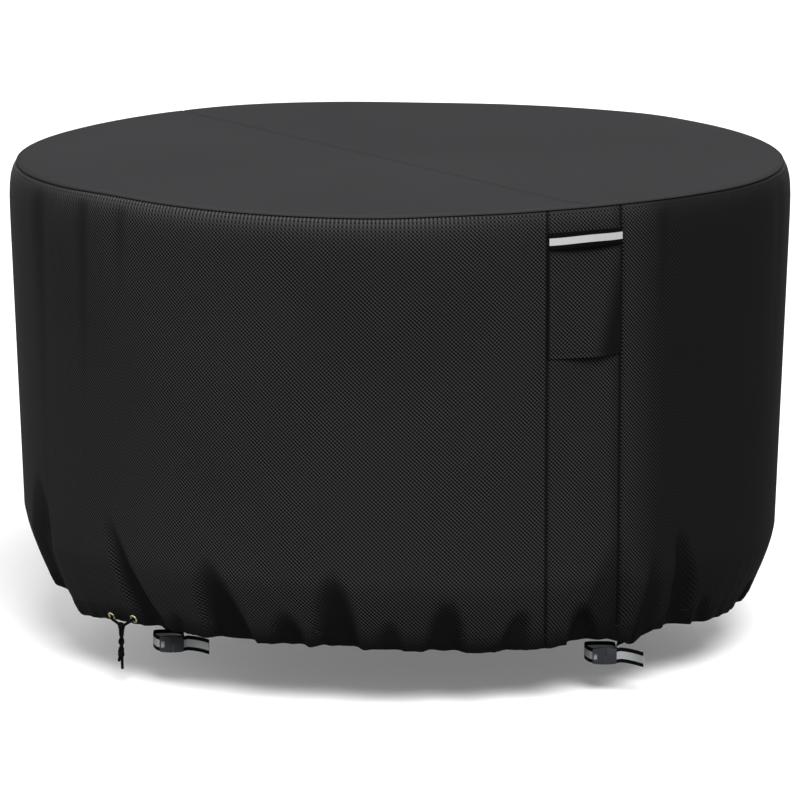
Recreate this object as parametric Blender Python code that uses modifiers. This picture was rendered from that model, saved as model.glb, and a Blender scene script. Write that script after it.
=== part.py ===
"""Round fitted cover for patio furniture, hanging from the underside of its flat top.

Metres, +Z up. The origin is the middle of the top's underside, the front faces -Y.
Azimuths are in degrees from the front (-Y), positive to the right (+X).
"""

import math

import bmesh
import bpy
import numpy as np
from mathutils import Matrix, Vector
from mathutils.bvhtree import BVHTree

# ---- driving dimensions ------------------------------------------------------------

RIM_RADIUS = 0.6293          # half of a 50 inch top, less its turned edge
CLOTH = 0.002                # one layer of coated cloth
GAP = 0.0004                 # air between two pieces that are sewn together
LIP_DROP = 0.0032            # the top's edge turned down over the wall
LIP_ROUND = 0.0030           # rounding of that edge
WAVE_REACH = 0.060           # how far the rim's dips run into the flat top

SHOULDER = 0.0140            # the wall swells by this much just under the rim
SHOULDER_REACH = 0.018
TAPER = 0.0375               # lean inwards for each metre of drop
DRAW_IN = 0.040              # the cord draws the hem in by this much
DRAW_HEIGHT = 0.115          # over this height above the hem
DRAW_POWER = 1.4
HEM_THICK = 0.0045           # the doubled hem that the cord runs in
HEM_SHARE = 0.96             # where it starts, as a share of the way down

TOP_SEAM_ANGLE = 32.1        # the chord between the two top panels, from -Y towards +X
TOP_SEAM_OFFSET = 0.0478     # its distance in front of the middle

STRIP_LEFT_X = 0.2291        # the two straight seams of the vent strip
STRIP_RIGHT_X = 0.3453

FLAP_TOP = 0.0320            # drops below the top's underside
FLAP_BOTTOM = 0.2328
FLAP_THICK = 0.0015
FLAP_INSET = 0.0010
FLAP_CLEAR = 0.0008          # air between the flap and the strip
FLAP_LIFT = 0.0030           # further stand-off of the free lower edge
FLAP_LIFT_AT = 0.66          # where along that edge it is largest, 0 left, 1 right
FLAP_LIFT_FROM = 0.35        # share of the way down where the flap starts to stand off

WEB_WIDTH = 0.0226           # webbing of the handle
STRAP_WIDTH = 0.0216         # webbing of the straps
WEB_THICK = 0.0015
HANDLE_TOP = 0.0370
HANDLE_CLEAR = 0.0007        # air between the handle's sewn ends and the flap
HANDLE_BOW = 0.0078          # further stand-off of its middle

EYELET_OUTER = 0.0063
EYELET_HOLE = 0.0032
EYELET_THICK = 0.0013
EYELET_SEAT = 0.0030         # radius of the hole in the hem's outer layer
EYELET_SEAT_DEPTH = 0.0028

CORD_RADIUS = 0.0023
CORD_SIDE_STEP = 0.0026      # half the distance between the two hanging strands
KNOT_UPPER = (0.0064, 0.0048, 0.0052)   # half sizes: along the hem, out, up
KNOT_LOWER = (0.0060, 0.0048, 0.0050)
KNOT_SHIFT = (-0.0028, -0.0010)         # the lower knot from the upper one: along, out

BUCKLE_HALF = 0.0192
BUCKLE_SHIFT = 0.0057        # its middle, right of the strap's middle
BUCKLE_HEIGHT = 0.0240
BUCKLE_FRONT = 0.0090
BUCKLE_CAVITY = 0.0112       # half height of the space for the webbing
BUCKLE_PLATE = 0.0022
BUCKLE_SPLIT = 0.0016        # where socket and clip meet
BUCKLE_BACK = 0.0002         # air between the buckle's back and the strap's inner plane
BUCKLE_EDGE = 0.0006         # rounding of its edges
SOCKET_HOLLOW = -0.0095      # how far the socket's hollow reaches in
CLIP_HOLLOW = 0.0050
WINDOW = (-0.0172, -0.0112, 0.0052)     # the socket's window: left, right, half height
BAR = (0.0090, 0.0033)       # the clip's bar: right of the middle, out
BAR_RADIUS = 0.0014
TAPE_WIDTH = 0.016
TAPE_THICK = 0.0012
TAPE_CLEAR = 0.0035          # between the tape and the uneven inside of the hem
TAPE_HEIGHTS = (0.026, 0.018, 0.010)    # where it is sewn, above the hem's edge
TAPE_DEPTH = 0.021           # how far behind the strap's inner front plane it meets the strap

# Height of the rim's seam above the top's underside: azimuth, lift
RIM_LINE = (
    (-169, 0.0008), (-154, 0.0028), (-141, 0.0012), (-118, -0.0025), (-90, -0.0028),
    (-60, 0.0000), (-47, 0.0040), (-35, 0.0008), (-22, -0.0018), (-8, -0.0025),
    (2, -0.0070), (8, -0.0096), (14, -0.0064), (20, -0.0005), (27, 0.0044),
    (36, 0.0048), (48, 0.0030), (62, 0.0000), (90, -0.0030), (125, 0.0000),
    (136, 0.0015), (146, 0.0003), (162, -0.0012), (176, -0.0020),
)

# Drop of the hem's lower edge: azimuth, drop
HEM_LINE = (
    (-170, 0.7100), (-140, 0.7130), (-110, 0.7000), (-84, 0.6860), (-66, 0.7140),
    (-50, 0.7005), (-30, 0.7000), (-12, 0.6990), (3, 0.7030), (15, 0.7090),
    (24, 0.7085), (31, 0.7060), (36.5, 0.7105), (40.8, 0.7240), (45, 0.7055), (58, 0.7160),
    (78, 0.7205), (105, 0.7080), (135, 0.7060), (160, 0.7130),
)

# Folds that rise from the hem: azimuth at the hem, lean of the crest, height, half width, depth
FOLDS = (
    (-71.0, 2.2, 0.235, 0.070, 0.014),
    (-42.3, -6.5, 0.190, 0.034, 0.012),
    (-36.6, 0.0, 0.045, 0.018, 0.006),
    (-27.4, -2.2, 0.142, 0.050, 0.018),
    (-17.5, 0.0, 0.062, 0.034, 0.012),
    (-9.6, -0.4, 0.134, 0.043, 0.017),
    (-1.5, 0.0, 0.055, 0.024, 0.008),
    (7.0, 0.0, 0.096, 0.038, 0.014),
    (17.6, 1.0, 0.078, 0.030, 0.011),
    (30.4, -2.6, 0.078, 0.036, 0.011),
    (41.5, -1.0, 0.165, 0.026, 0.010),
    (50.0, -4.6, 0.178, 0.036, 0.016),
    (56.5, -2.0, 0.060, 0.024, 0.008),
    (73.5, 0.0, 0.050, 0.040, 0.010),
    (92.0, 2.0, 0.130, 0.048, 0.015),
    (107.0, -1.0, 0.070, 0.034, 0.011),
    (121.0, 2.0, 0.150, 0.046, 0.016),
    (138.0, 0.0, 0.080, 0.038, 0.012),
    (153.0, -2.5, 0.125, 0.050, 0.016),
    (169.0, 0.5, 0.060, 0.032, 0.010),
    (184.0, 2.0, 0.155, 0.048, 0.017),
    (201.0, 0.0, 0.075, 0.036, 0.012),
    (216.0, -2.0, 0.140, 0.046, 0.015),
    (233.0, 1.0, 0.090, 0.042, 0.013),
    (249.0, -1.5, 0.165, 0.052, 0.016),
    (266.0, 0.0, 0.060, 0.034, 0.010),
    (276.0, 1.0, 0.120, 0.040, 0.012),
)
FOLD_EDGE = 0.62             # how gently a fold's side sinks in

# Rows of the wall from rim to hem, as shares of the way down
WALL_ROWS = (0, 0.018, 0.05, 0.11, 0.24, 0.40, 0.56, 0.67, 0.75, 0.81, 0.86, 0.90, 0.935, 0.963, 1)

# The two places where the tie leaves the hem: name, azimuth, drop
EYELETS = (
    ("eyelet_left", -52.8, 0.6955),
    ("eyelet_right", -46.9, 0.6895),
)
TIE_AZIMUTH = -48.65
TIE_RADIUS = 0.5935
KNOT_UPPER_DROP = 0.7026     # middles of the two knots
KNOT_LOWER_DROP = 0.7487
TIE_SHORT_END = 0.7618
TIE_LONG_END = 0.7733

# Straps, each buckled in a loop: name, middle x, inner front y, top of the webbing,
# and on which face of its right side the tape is sewn, -1 inner, 1 outer
STRAPS = (
    ("left", -0.3705, -0.4034, -0.7179, -1),
    ("right", 0.3199, -0.4465, -0.7274, 1),
)

# Plan of a strap from its end in the socket, once round, through the clip to the free end:
# millimetres to the right of the strap's middle, and out of its inner front plane
STRAP_PLAN = (
    (-4.4, 3.9), (-8.5, 3.6), (-13.0, 1.4), (-17.0, -3.5), (-20.0, -10.5), (-22.8, -20.0),
    (-24.8, -31.0), (-24.0, -41.0), (-17.0, -46.4), (-2.0, -47.4), (13.0, -46.6),
    (21.6, -41.6), (23.4, -32.0), (23.8, -18.0), (23.6, -11.0), (22.4, -4.2), (19.0, -0.1),
    (15.0, 0.8), (13.0, 1.5), (12.2, 3.3), (13.0, 5.1), (15.0, 5.8), (21.5, 5.8), (28.0, 6.1),
    (39.0, 8.4), (50.0, 14.2), (59.0, 22.6), (66.0, 32.0),
)
STRAP_SIDE = 0.0238          # its right side, from the middle
PLAN_STEPS = 3               # sections between two rows of the plan

# ---- helpers -----------------------------------------------------------------------


def start():
    """An empty scene with one collection for the cover and one for cutters."""
    for obj in list(bpy.data.objects):
        bpy.data.objects.remove(obj, do_unlink=True)
    scene = bpy.context.scene
    folders = []
    for name in ("patio_furniture_cover", "cutters"):
        folder = bpy.data.collections.new(name)
        scene.collection.children.link(folder)
        folders.append(folder)
    return folders


def material(name, colour, roughness, metallic=0.0):
    """A plain Principled material."""
    mat = bpy.data.materials.new(name)
    mat.use_nodes = True
    shader = mat.node_tree.nodes["Principled BSDF"]
    shader.inputs["Base Color"].default_value = (*colour, 1.0)
    shader.inputs["Roughness"].default_value = roughness
    shader.inputs["Metallic"].default_value = metallic
    mat.diffuse_color = (*colour, 1.0)
    return mat


def add(name, mesh, folder, mat=None):
    """A new object in its collection."""
    obj = bpy.data.objects.new(name, mesh)
    folder.objects.link(obj)
    if mat:
        mesh.materials.append(mat)
    return obj


def smooth_step(t):
    t = np.clip(t, 0.0, 1.0)
    return t * t * (3 - 2 * t)


def around(table, azimuth):
    """A smooth closed curve through a table of azimuths and values."""
    angles = np.array([row[0] for row in table], float)
    values = np.array([row[1] for row in table], float)
    angles = np.concatenate((angles[-2:] - 360, angles, angles[:3] + 360))
    values = np.concatenate((values[-2:], values, values[:3]))
    a = (np.asarray(azimuth, float) - angles[1]) % 360 + angles[1]
    i = np.clip(np.searchsorted(angles, a, side="right") - 1, 1, len(angles) - 3)
    span = angles[i + 1] - angles[i]
    t = (a - angles[i]) / span
    slope_a = (values[i + 1] - values[i - 1]) / (angles[i + 1] - angles[i - 1]) * span
    slope_b = (values[i + 2] - values[i]) / (angles[i + 2] - angles[i]) * span
    return (
        values[i] * (2 * t**3 - 3 * t**2 + 1) + slope_a * (t**3 - 2 * t**2 + t)
        + values[i + 1] * (3 * t**2 - 2 * t**3) + slope_b * (t**3 - t**2)
    )


def through(points, steps):
    """Points on a smooth open curve through the given ones, with steps between two of them."""
    p = np.array(points, float)
    p = np.vstack((2 * p[0] - p[1], p, 2 * p[-1] - p[-2]))
    out = []
    for i in range(1, len(p) - 2):
        a, b, c, d = p[i - 1:i + 3]
        for t in np.arange(steps) / steps:
            out.append(0.5 * (
                2 * b + (c - a) * t + (2 * a - 5 * b + 4 * c - d) * t**2
                + (3 * b - a - 3 * c + d) * t**3
            ))
    out.append(p[-2])
    return np.array(out)


def grid_mesh(name, points, flip=False):
    """A mesh of quads over an array of points, rows by columns."""
    rows, columns = points.shape[:2]
    mesh = bpy.data.meshes.new(name)
    faces = []
    for r in range(rows - 1):
        for c in range(columns - 1):
            a = r * columns + c
            quad = (a, a + 1, a + columns + 1, a + columns)
            faces.append(quad[::-1] if flip else quad)
    mesh.from_pydata(points.reshape(-1, 3).tolist(), [], faces)
    mesh.update()
    return mesh


def solidify(obj, thickness, middle=False):
    """Gives an open surface its thickness, inwards from it or on both sides of it."""
    mod = obj.modifiers.new("thickness", "SOLIDIFY")
    mod.thickness = thickness
    mod.offset = 0.0 if middle else -1.0
    mod.use_even_offset = True
    return mod


def rounded(mesh, angle=40):
    mesh.shade_smooth()
    mesh.set_sharp_from_angle(angle=math.radians(angle))


# ---- the shape in which the cloth hangs -----------------------------------------------


def rim_z(azimuth):
    return around(RIM_LINE, azimuth)


def hem_z(azimuth):
    return -around(HEM_LINE, azimuth)


def fold_depth(azimuth, z):
    """How far the folds sink in at this place."""
    height = z - hem_z(azimuth)
    total = np.zeros_like(height)
    for at, lean, crest, half, depth in FOLDS:
        up = height / crest
        middle = at + lean * np.clip(up, 0, 1)
        turn = (azimuth - middle + 180) % 360 - 180
        side = np.radians(turn) * RIM_RADIUS / half
        inside = (1 - up) - side**2
        total += depth * smooth_step(inside / FOLD_EDGE)
    return total


def wall_radius(azimuth, z):
    """Distance of the wall's outer face from the axis."""
    below = np.maximum(rim_z(azimuth) - LIP_DROP - z, 0)
    above = z - hem_z(azimuth)
    swell = SHOULDER * (1 - np.exp(-below / SHOULDER_REACH))
    drawn = DRAW_IN * np.clip(1 - above / DRAW_HEIGHT, 0, 1) ** DRAW_POWER
    return RIM_RADIUS + swell - TAPER * below - drawn - fold_depth(azimuth, z)


def wall_point(azimuth, z, out=0.0):
    """Points on the wall's outer face, or that far outside it."""
    azimuth = np.asarray(azimuth, float)
    z = np.broadcast_to(np.asarray(z, float), azimuth.shape)
    radius = wall_radius(azimuth, z) + out
    turn = np.radians(azimuth)
    return np.stack((radius * np.sin(turn), -radius * np.cos(turn), z), axis=-1)


def wall_normal(azimuth, z):
    """The outward normal of the wall at one place."""
    step = 0.3
    side = wall_point(azimuth + step, z) - wall_point(azimuth - step, z)
    rise = wall_point(azimuth, z + 0.003) - wall_point(azimuth, z - 0.003)
    return Vector(np.cross(side, rise)).normalized()


def seam_azimuth(x, z):
    """Where the wall meets the upright plane at x, on the front side."""
    azimuth = np.degrees(np.arcsin(x / RIM_RADIUS)) + np.zeros_like(z)
    for _ in range(12):
        azimuth = np.degrees(np.arcsin(x / wall_radius(azimuth, z)))
    return azimuth


def row_z(share, azimuth):
    """Height of a row of the wall, between the turned edge and the hem."""
    top = rim_z(azimuth) - LIP_DROP - GAP
    return top + (hem_z(azimuth) - top) * share


def seam_rows(x):
    """Azimuths of one straight seam at each row of the wall."""
    share = np.array(WALL_ROWS)
    azimuth = np.degrees(np.arcsin(x / RIM_RADIUS)) + np.zeros_like(share)
    for _ in range(6):
        azimuth = seam_azimuth(x, row_z(share, azimuth))
    return azimuth


def cloth_grid(columns, left, right):
    """Wall points for the given column shares between two seams, left and right azimuths by row."""
    share = np.array(WALL_ROWS)[:, None]
    azimuth = left[:, None] + (right - left)[:, None] * columns[None, :]
    return wall_point(azimuth, row_z(share, azimuth))


def hem_group(obj, count):
    """A vertex group that makes the hem's channel thicker than one layer."""
    group = obj.vertex_groups.new(name="hem")
    hem_rows = sum(1 for share in WALL_ROWS if share >= HEM_SHARE)
    total = len(obj.data.vertices)
    group.add(list(range(total - hem_rows * count, total)), 1.0, "REPLACE")
    mod = solidify(obj, HEM_THICK)
    mod.vertex_group = "hem"
    mod.thickness_vertex_group = CLOTH / HEM_THICK


# ---- the pieces ------------------------------------------------------------------------


def top_panels(folder, mat):
    """Two panels cut from one flat top, joined along a chord, with their edge turned down."""
    turns = np.linspace(-180, 180, 85)[:-1]
    rings = [(RIM_RADIUS * share, CLOTH) for share in (0.4, 0.75, 0.905, 0.975)]
    rings += [
        (RIM_RADIUS - LIP_ROUND * 0.9, CLOTH - 0.0002),
        (RIM_RADIUS - LIP_ROUND * 0.25, CLOTH - LIP_ROUND * 0.45),
        (RIM_RADIUS, CLOTH - LIP_ROUND * 1.3),
        (RIM_RADIUS, -LIP_DROP),
    ]
    lift = rim_z(turns)
    along = np.radians(turns)
    cap = bmesh.new()
    middle = cap.verts.new((0, 0, CLOTH))
    loops = []
    for radius, z in rings:
        share = smooth_step((radius - RIM_RADIUS + WAVE_REACH) / WAVE_REACH)
        xyz = np.stack((radius * np.sin(along), -radius * np.cos(along), z + lift * share), axis=-1)
        loops.append([cap.verts.new(p) for p in xyz])
    count = len(turns)
    for i in range(count):
        j = (i + 1) % count
        cap.faces.new((middle, loops[0][i], loops[0][j]))
        for inner, outer in zip(loops, loops[1:]):
            cap.faces.new((inner[i], outer[i], outer[j], inner[j]))
    angle = math.radians(TOP_SEAM_ANGLE)
    normal = Vector((math.cos(angle), math.sin(angle), 0))
    for name, side in (("top_panel_back", 1), ("top_panel_front", -1)):
        half = cap.copy()
        everything = half.verts[:] + half.edges[:] + half.faces[:]
        bmesh.ops.bisect_plane(
            half, geom=everything, dist=1e-6, plane_no=normal * side,
            plane_co=normal * (side * GAP / 2 - TOP_SEAM_OFFSET), clear_inner=True,
        )
        mesh = bpy.data.meshes.new(name)
        half.to_mesh(mesh)
        half.free()
        rounded(mesh)
        solidify(add(name, mesh, folder, mat), CLOTH)
    cap.free()


def wall_panel(folder, mat):
    """One length of cloth round the sides and back, from the strip's right seam to its left one."""
    right = seam_rows(STRIP_RIGHT_X + GAP / 2)
    left = seam_rows(STRIP_LEFT_X - GAP / 2) + 360
    turns = np.concatenate((np.linspace(right[0], 92, 29)[:-1],
                            np.linspace(92, 266, 52)[:-1],
                            np.linspace(266, left[0], 55)))
    columns = (turns - turns[0]) / (turns[-1] - turns[0])
    points = cloth_grid(columns, right, left)
    mesh = grid_mesh("wall_panel", points, flip=True)
    rounded(mesh, 60)
    obj = add("wall_panel", mesh, folder, mat)
    hem_group(obj, len(columns))
    return obj


def vent_strip(folder, mat):
    """The narrow strip between the two straight seams, from rim to hem."""
    columns = np.linspace(0, 1, 8)
    points = cloth_grid(columns, seam_rows(STRIP_LEFT_X + GAP / 2), seam_rows(STRIP_RIGHT_X - GAP / 2))
    mesh = grid_mesh("vent_strip", points, flip=True)
    rounded(mesh, 60)
    obj = add("vent_strip", mesh, folder, mat)
    hem_group(obj, len(columns))


def across_strip(columns, z, inset):
    """Azimuths across the strip at one height, a little inside its seams."""
    left = seam_azimuth(STRIP_LEFT_X + inset, z)
    right = seam_azimuth(STRIP_RIGHT_X - inset, z)
    return left + (right - left) * columns


def vent_flap(folder, mat):
    """The flap that covers the vent: sewn at its top and sides, free along its lower edge."""
    columns = np.linspace(0, 1, 8)
    drops = np.array((FLAP_TOP, 0.046, 0.062, 0.085, 0.115, 0.150, 0.180, 0.205, 0.222, FLAP_BOTTOM))
    rows = []
    for drop in drops:
        azimuth = across_strip(columns, np.float64(-drop), FLAP_INSET)
        down = (drop - FLAP_TOP) / (FLAP_BOTTOM - FLAP_TOP)
        bulge = np.sin(np.pi * columns ** (math.log(0.5) / math.log(FLAP_LIFT_AT))) ** 1.5
        lift = FLAP_LIFT * bulge * max(down - FLAP_LIFT_FROM, 0) / (1 - FLAP_LIFT_FROM)
        rows.append(wall_point(azimuth, -drop, FLAP_CLEAR + FLAP_THICK + lift))
    mesh = grid_mesh("vent_flap", np.array(rows), flip=True)
    rounded(mesh, 60)
    solidify(add("vent_flap", mesh, folder, mat), FLAP_THICK)


def handle(folder, mat):
    """Webbing sewn into both seams of the strip, a little slack so that fingers fit behind it."""
    columns = np.linspace(0, 1, 19)
    out = FLAP_CLEAR + FLAP_THICK + HANDLE_CLEAR + WEB_THICK + HANDLE_BOW * np.sin(np.pi * columns) ** 2
    rows = []
    for drop in (HANDLE_TOP, HANDLE_TOP + WEB_WIDTH / 2, HANDLE_TOP + WEB_WIDTH):
        azimuth = across_strip(columns, np.float64(-drop), FLAP_INSET)
        rows.append(wall_point(azimuth, -drop, out))
    mesh = grid_mesh("handle", np.array(rows), flip=True)
    rounded(mesh, 60)
    solidify(add("handle", mesh, folder, mat), WEB_THICK)


def seat(obj, azimuth, drop):
    """The hole that an eyelet's cord comes through, cut in the hem's outer layer."""
    z = -drop
    normal = wall_normal(azimuth, z)
    point = Vector(wall_point(azimuth, z))
    bpy.ops.mesh.primitive_cylinder_add(vertices=16, radius=EYELET_SEAT, depth=0.010)
    cutter = bpy.context.object
    cutter.name = obj.name + "_seat"
    cutter.rotation_euler = normal.to_track_quat("Z", "Y").to_euler()
    cutter.location = point + normal * (0.005 - EYELET_SEAT_DEPTH)
    cutter.hide_render = True
    cutter.display_type = "WIRE"
    mod = obj.modifiers.new("seat", "BOOLEAN")
    mod.operation = "DIFFERENCE"
    mod.solver = "EXACT"
    mod.object = cutter
    return cutter


def eyelets(wall, folder, cutters, mat):
    """Two brass rings on the hem. Each is a turned section, set on the cloth as it lies there."""
    places = []
    for name, azimuth, drop in EYELETS:
        cutter = seat(wall, azimuth, drop)
        for holder in list(cutter.users_collection):
            holder.objects.unlink(cutter)
        cutters.objects.link(cutter)
        places.append((name, wall_normal(azimuth, -drop), Vector(wall_point(azimuth, -drop))))
    bpy.context.view_layer.update()
    graph = bpy.context.evaluated_depsgraph_get()
    cloth = BVHTree.FromObject(wall, graph)
    middle = (EYELET_HOLE + EYELET_OUTER) / 2
    half = (EYELET_OUTER - EYELET_HOLE) / 2
    section = []
    for i in range(9):
        turn = math.pi * i / 8
        section.append((middle - half * math.cos(turn), EYELET_THICK * math.sin(turn) ** 0.7))
    exits = []
    for name, normal, point in places:
        mesh = bpy.data.meshes.new(name)
        profile = bmesh.new()
        verts = [profile.verts.new((r, 0, z)) for r, z in section]
        for a, b in zip(verts, verts[1:] + verts[:1]):
            profile.edges.new((b, a))
        profile.to_mesh(mesh)
        profile.free()
        ring = add(name, mesh, folder, mat)
        screw = ring.modifiers.new("turned", "SCREW")
        screw.steps = 24
        screw.render_steps = 24
        screw.use_merge_vertices = True
        screw.merge_threshold = 0.00002
        screw.use_normal_calculate = True
        turn = normal.to_track_quat("Z", "Y").to_matrix()
        height = 0.0
        for i in range(24):
            a = 2 * math.pi * i / 24
            for radius in (EYELET_HOLE, middle, EYELET_OUTER):
                foot = point + turn @ Vector((radius * math.cos(a), radius * math.sin(a), 0))
                hit = cloth.ray_cast(foot + normal * 0.01, -normal, 0.02)
                if hit[0] is not None:
                    height = max(height, (hit[0] - foot).dot(normal))
        ring.matrix_world = Matrix.Translation(point + normal * (height + 0.0003)) @ turn.to_4x4()
        exits.append((point + normal * height, normal))
    return exits


def tube(name, points, folder, mat, steps=4):
    """A cord: a smooth curve through the points, with a round section."""
    path = through(points, steps)
    curve = bpy.data.curves.new(name, "CURVE")
    curve.dimensions = "3D"
    curve.bevel_depth = CORD_RADIUS
    curve.bevel_resolution = 2
    curve.use_fill_caps = True
    spline = curve.splines.new("POLY")
    spline.points.add(len(path) - 1)
    for point, xyz in zip(spline.points, path):
        point.co = (*xyz, 1.0)
    obj = bpy.data.objects.new(name, curve)
    folder.objects.link(obj)
    curve.materials.append(mat)
    return obj


def tie(exits, folder, mat):
    """The drawcord's two ends: out of the eyelets, knotted twice, and hanging free."""
    turn = math.radians(TIE_AZIMUTH)
    out = Vector((math.sin(turn), -math.cos(turn), 0))
    side = Vector((math.cos(turn), math.sin(turn), 0))
    down = Vector((0, 0, -1))
    along, outward = KNOT_SHIFT
    upper = out * TIE_RADIUS + down * KNOT_UPPER_DROP
    lower = out * (TIE_RADIUS + outward) + side * along + down * KNOT_LOWER_DROP
    half_upper = KNOT_UPPER[2]
    half_lower = KNOT_LOWER[2]
    step = CORD_SIDE_STEP
    for name, sign, (foot, normal), ending in (
        ("left", -1, exits[0], TIE_SHORT_END),
        ("right", 1, exits[1], TIE_LONG_END),
    ):
        shoulder = upper - down * (half_upper * 0.8) + side * (sign * (KNOT_UPPER[0] + 0.002))
        slant = (shoulder - foot).normalized()
        route = [
            foot - normal * 0.0012,
            foot + normal * 0.0014 + slant * 0.0003,
            foot + normal * 0.0036 + slant * 0.0028,
            foot.lerp(shoulder, 0.5) + normal * 0.0036,
            foot.lerp(shoulder, 0.8) + normal * 0.0016,
            shoulder,
        ]
        tube("cord_" + name + "_upper", route, folder, mat)
        top = upper + down * (half_upper + GAP)
        foot_lower = lower - down * (half_lower + GAP)
        route = [
            top + side * (sign * step * 1.02),
            top.lerp(foot_lower, 0.35) + side * (sign * step * 1.15),
            top.lerp(foot_lower, 0.70) + side * (sign * step * 1.05),
            foot_lower + side * (sign * step * 1.02),
        ]
        tube("cord_" + name + "_middle", route, folder, mat, 5)
        start_end = lower + down * (half_lower + GAP) + side * (sign * step * 1.02)
        length = ending - KNOT_LOWER_DROP - half_lower - GAP
        lean = side * (-0.0035 if sign < 0 else 0.0004)
        route = [
            start_end,
            start_end + down * (length * 0.5) + lean * 0.4,
            start_end + down * length + lean,
        ]
        tube("cord_" + name + "_end", route, folder, mat, 3)
    for name, middle, size in (("knot_upper", upper, KNOT_UPPER), ("knot_lower", lower, KNOT_LOWER)):
        knot(name, middle, size, turn, folder, mat)


def knot(name, middle, size, turn, folder, mat):
    """An overhand knot pulled tight: a lump with flat ends where the strands go in."""
    shape = bmesh.new()
    bmesh.ops.create_uvsphere(shape, u_segments=16, v_segments=8, radius=1.0)
    for vert in shape.verts:
        flat = max(-0.86, min(0.86, vert.co.z)) / 0.86
        belt = 1.0 + 0.10 * math.cos(4 * math.atan2(vert.co.y, vert.co.x) + 3 * flat)
        wide = math.hypot(vert.co.x, vert.co.y)
        if wide > 1e-6:
            swell = belt * math.sqrt(1 - 0.55 * flat * flat) / wide
            vert.co.x *= swell
            vert.co.y *= swell
        vert.co.z = flat
    bmesh.ops.scale(shape, vec=size, verts=shape.verts)
    mesh = bpy.data.meshes.new(name)
    shape.to_mesh(mesh)
    shape.free()
    rounded(mesh)
    obj = add(name, mesh, folder, mat)
    obj.location = middle
    obj.rotation_euler = (0, 0, turn)


def ribbon(name, centres, across, width, thickness, folder, mat):
    """Webbing along a route: centres of its sections and the unit direction of its width there."""
    centres = np.asarray(centres, float)
    across = np.asarray(across, float)
    points = np.stack((centres - across * width / 2, centres + across * width / 2))
    mesh = grid_mesh(name, points)
    rounded(mesh, 60)
    solidify(add(name, mesh, folder, mat), thickness, middle=True)


def strap(row, folder, mat):
    """A strap's webbing: once round its loop, through the clip and out to its free end."""
    name, x, y, top, _ = row
    plan = through(np.array(STRAP_PLAN) / 1000, PLAN_STEPS)
    middle = top - STRAP_WIDTH / 2
    centres = np.stack((x + plan[:, 0], y - plan[:, 1], np.full(len(plan), middle)), axis=-1)
    across = np.tile((0.0, 0.0, 1.0), (len(plan), 1))
    ribbon("strap_" + name, centres, across, STRAP_WIDTH, WEB_THICK, folder, mat)


def strap_tape(row, folder, mat):
    """The tape from the inside of the hem to the right side of a strap."""
    name, x, y, top, face = row
    beside = x + STRAP_SIDE + face * (WEB_THICK / 2 + 2 * GAP + TAPE_THICK / 2)
    at = Vector((beside, y + TAPE_DEPTH, 0))
    azimuth = math.degrees(math.atan2(at.x, -at.y))
    turn = math.radians(azimuth)
    tangent = Vector((math.cos(turn), math.sin(turn), 0))
    hem = float(hem_z(azimuth))
    inside = HEM_THICK + TAPE_CLEAR + TAPE_THICK / 2
    centres = []
    across = []
    beyond = math.degrees(TAPE_WIDTH / 2 / RIM_RADIUS) + 0.5
    near = azimuth + np.linspace(-beyond, beyond, 9)
    for height in TAPE_HEIGHTS:
        z = hem + height
        sunk = float(wall_radius(azimuth, z) - np.min(wall_radius(near, np.full(9, z))))
        centres.append(Vector(wall_point(azimuth, z)) - wall_normal(azimuth, z) * (inside + sunk))
        across.append(tangent)
    backward = Vector((0, 1, 0))
    inwards = ((hem + 0.002, 0.06), ((hem + top) / 2, 0.5), (top + 0.002, 0.94))
    down = ((top - 0.008, 1.0), (top - 0.018, 1.0))
    for z, share in inwards + down:
        centres.append(centres[2].lerp(at, share))
        centres[-1].z = z
        across.append(tangent.lerp(backward, share).normalized())
    route = through(centres, 2)
    widths = through(across, 2)
    widths /= np.linalg.norm(widths, axis=1)[:, None]
    ribbon("strap_tape_" + name, route, widths, TAPE_WIDTH, TAPE_THICK, folder, mat)


def block(name, low, high, folder):
    """A box between two corners."""
    low = Vector(low)
    high = Vector(high)
    bpy.ops.mesh.primitive_cube_add(size=1)
    obj = bpy.context.object
    obj.name = name
    obj.data.transform(Matrix.LocRotScale((low + high) / 2, None, high - low))
    for holder in list(obj.users_collection):
        holder.objects.unlink(obj)
    folder.objects.link(obj)
    return obj


def cut(obj, cutter, operation="DIFFERENCE"):
    cutter.hide_render = True
    cutter.display_type = "WIRE"
    mod = obj.modifiers.new(operation.lower(), "BOOLEAN")
    mod.operation = operation
    mod.solver = "EXACT"
    mod.object = cutter


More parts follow.
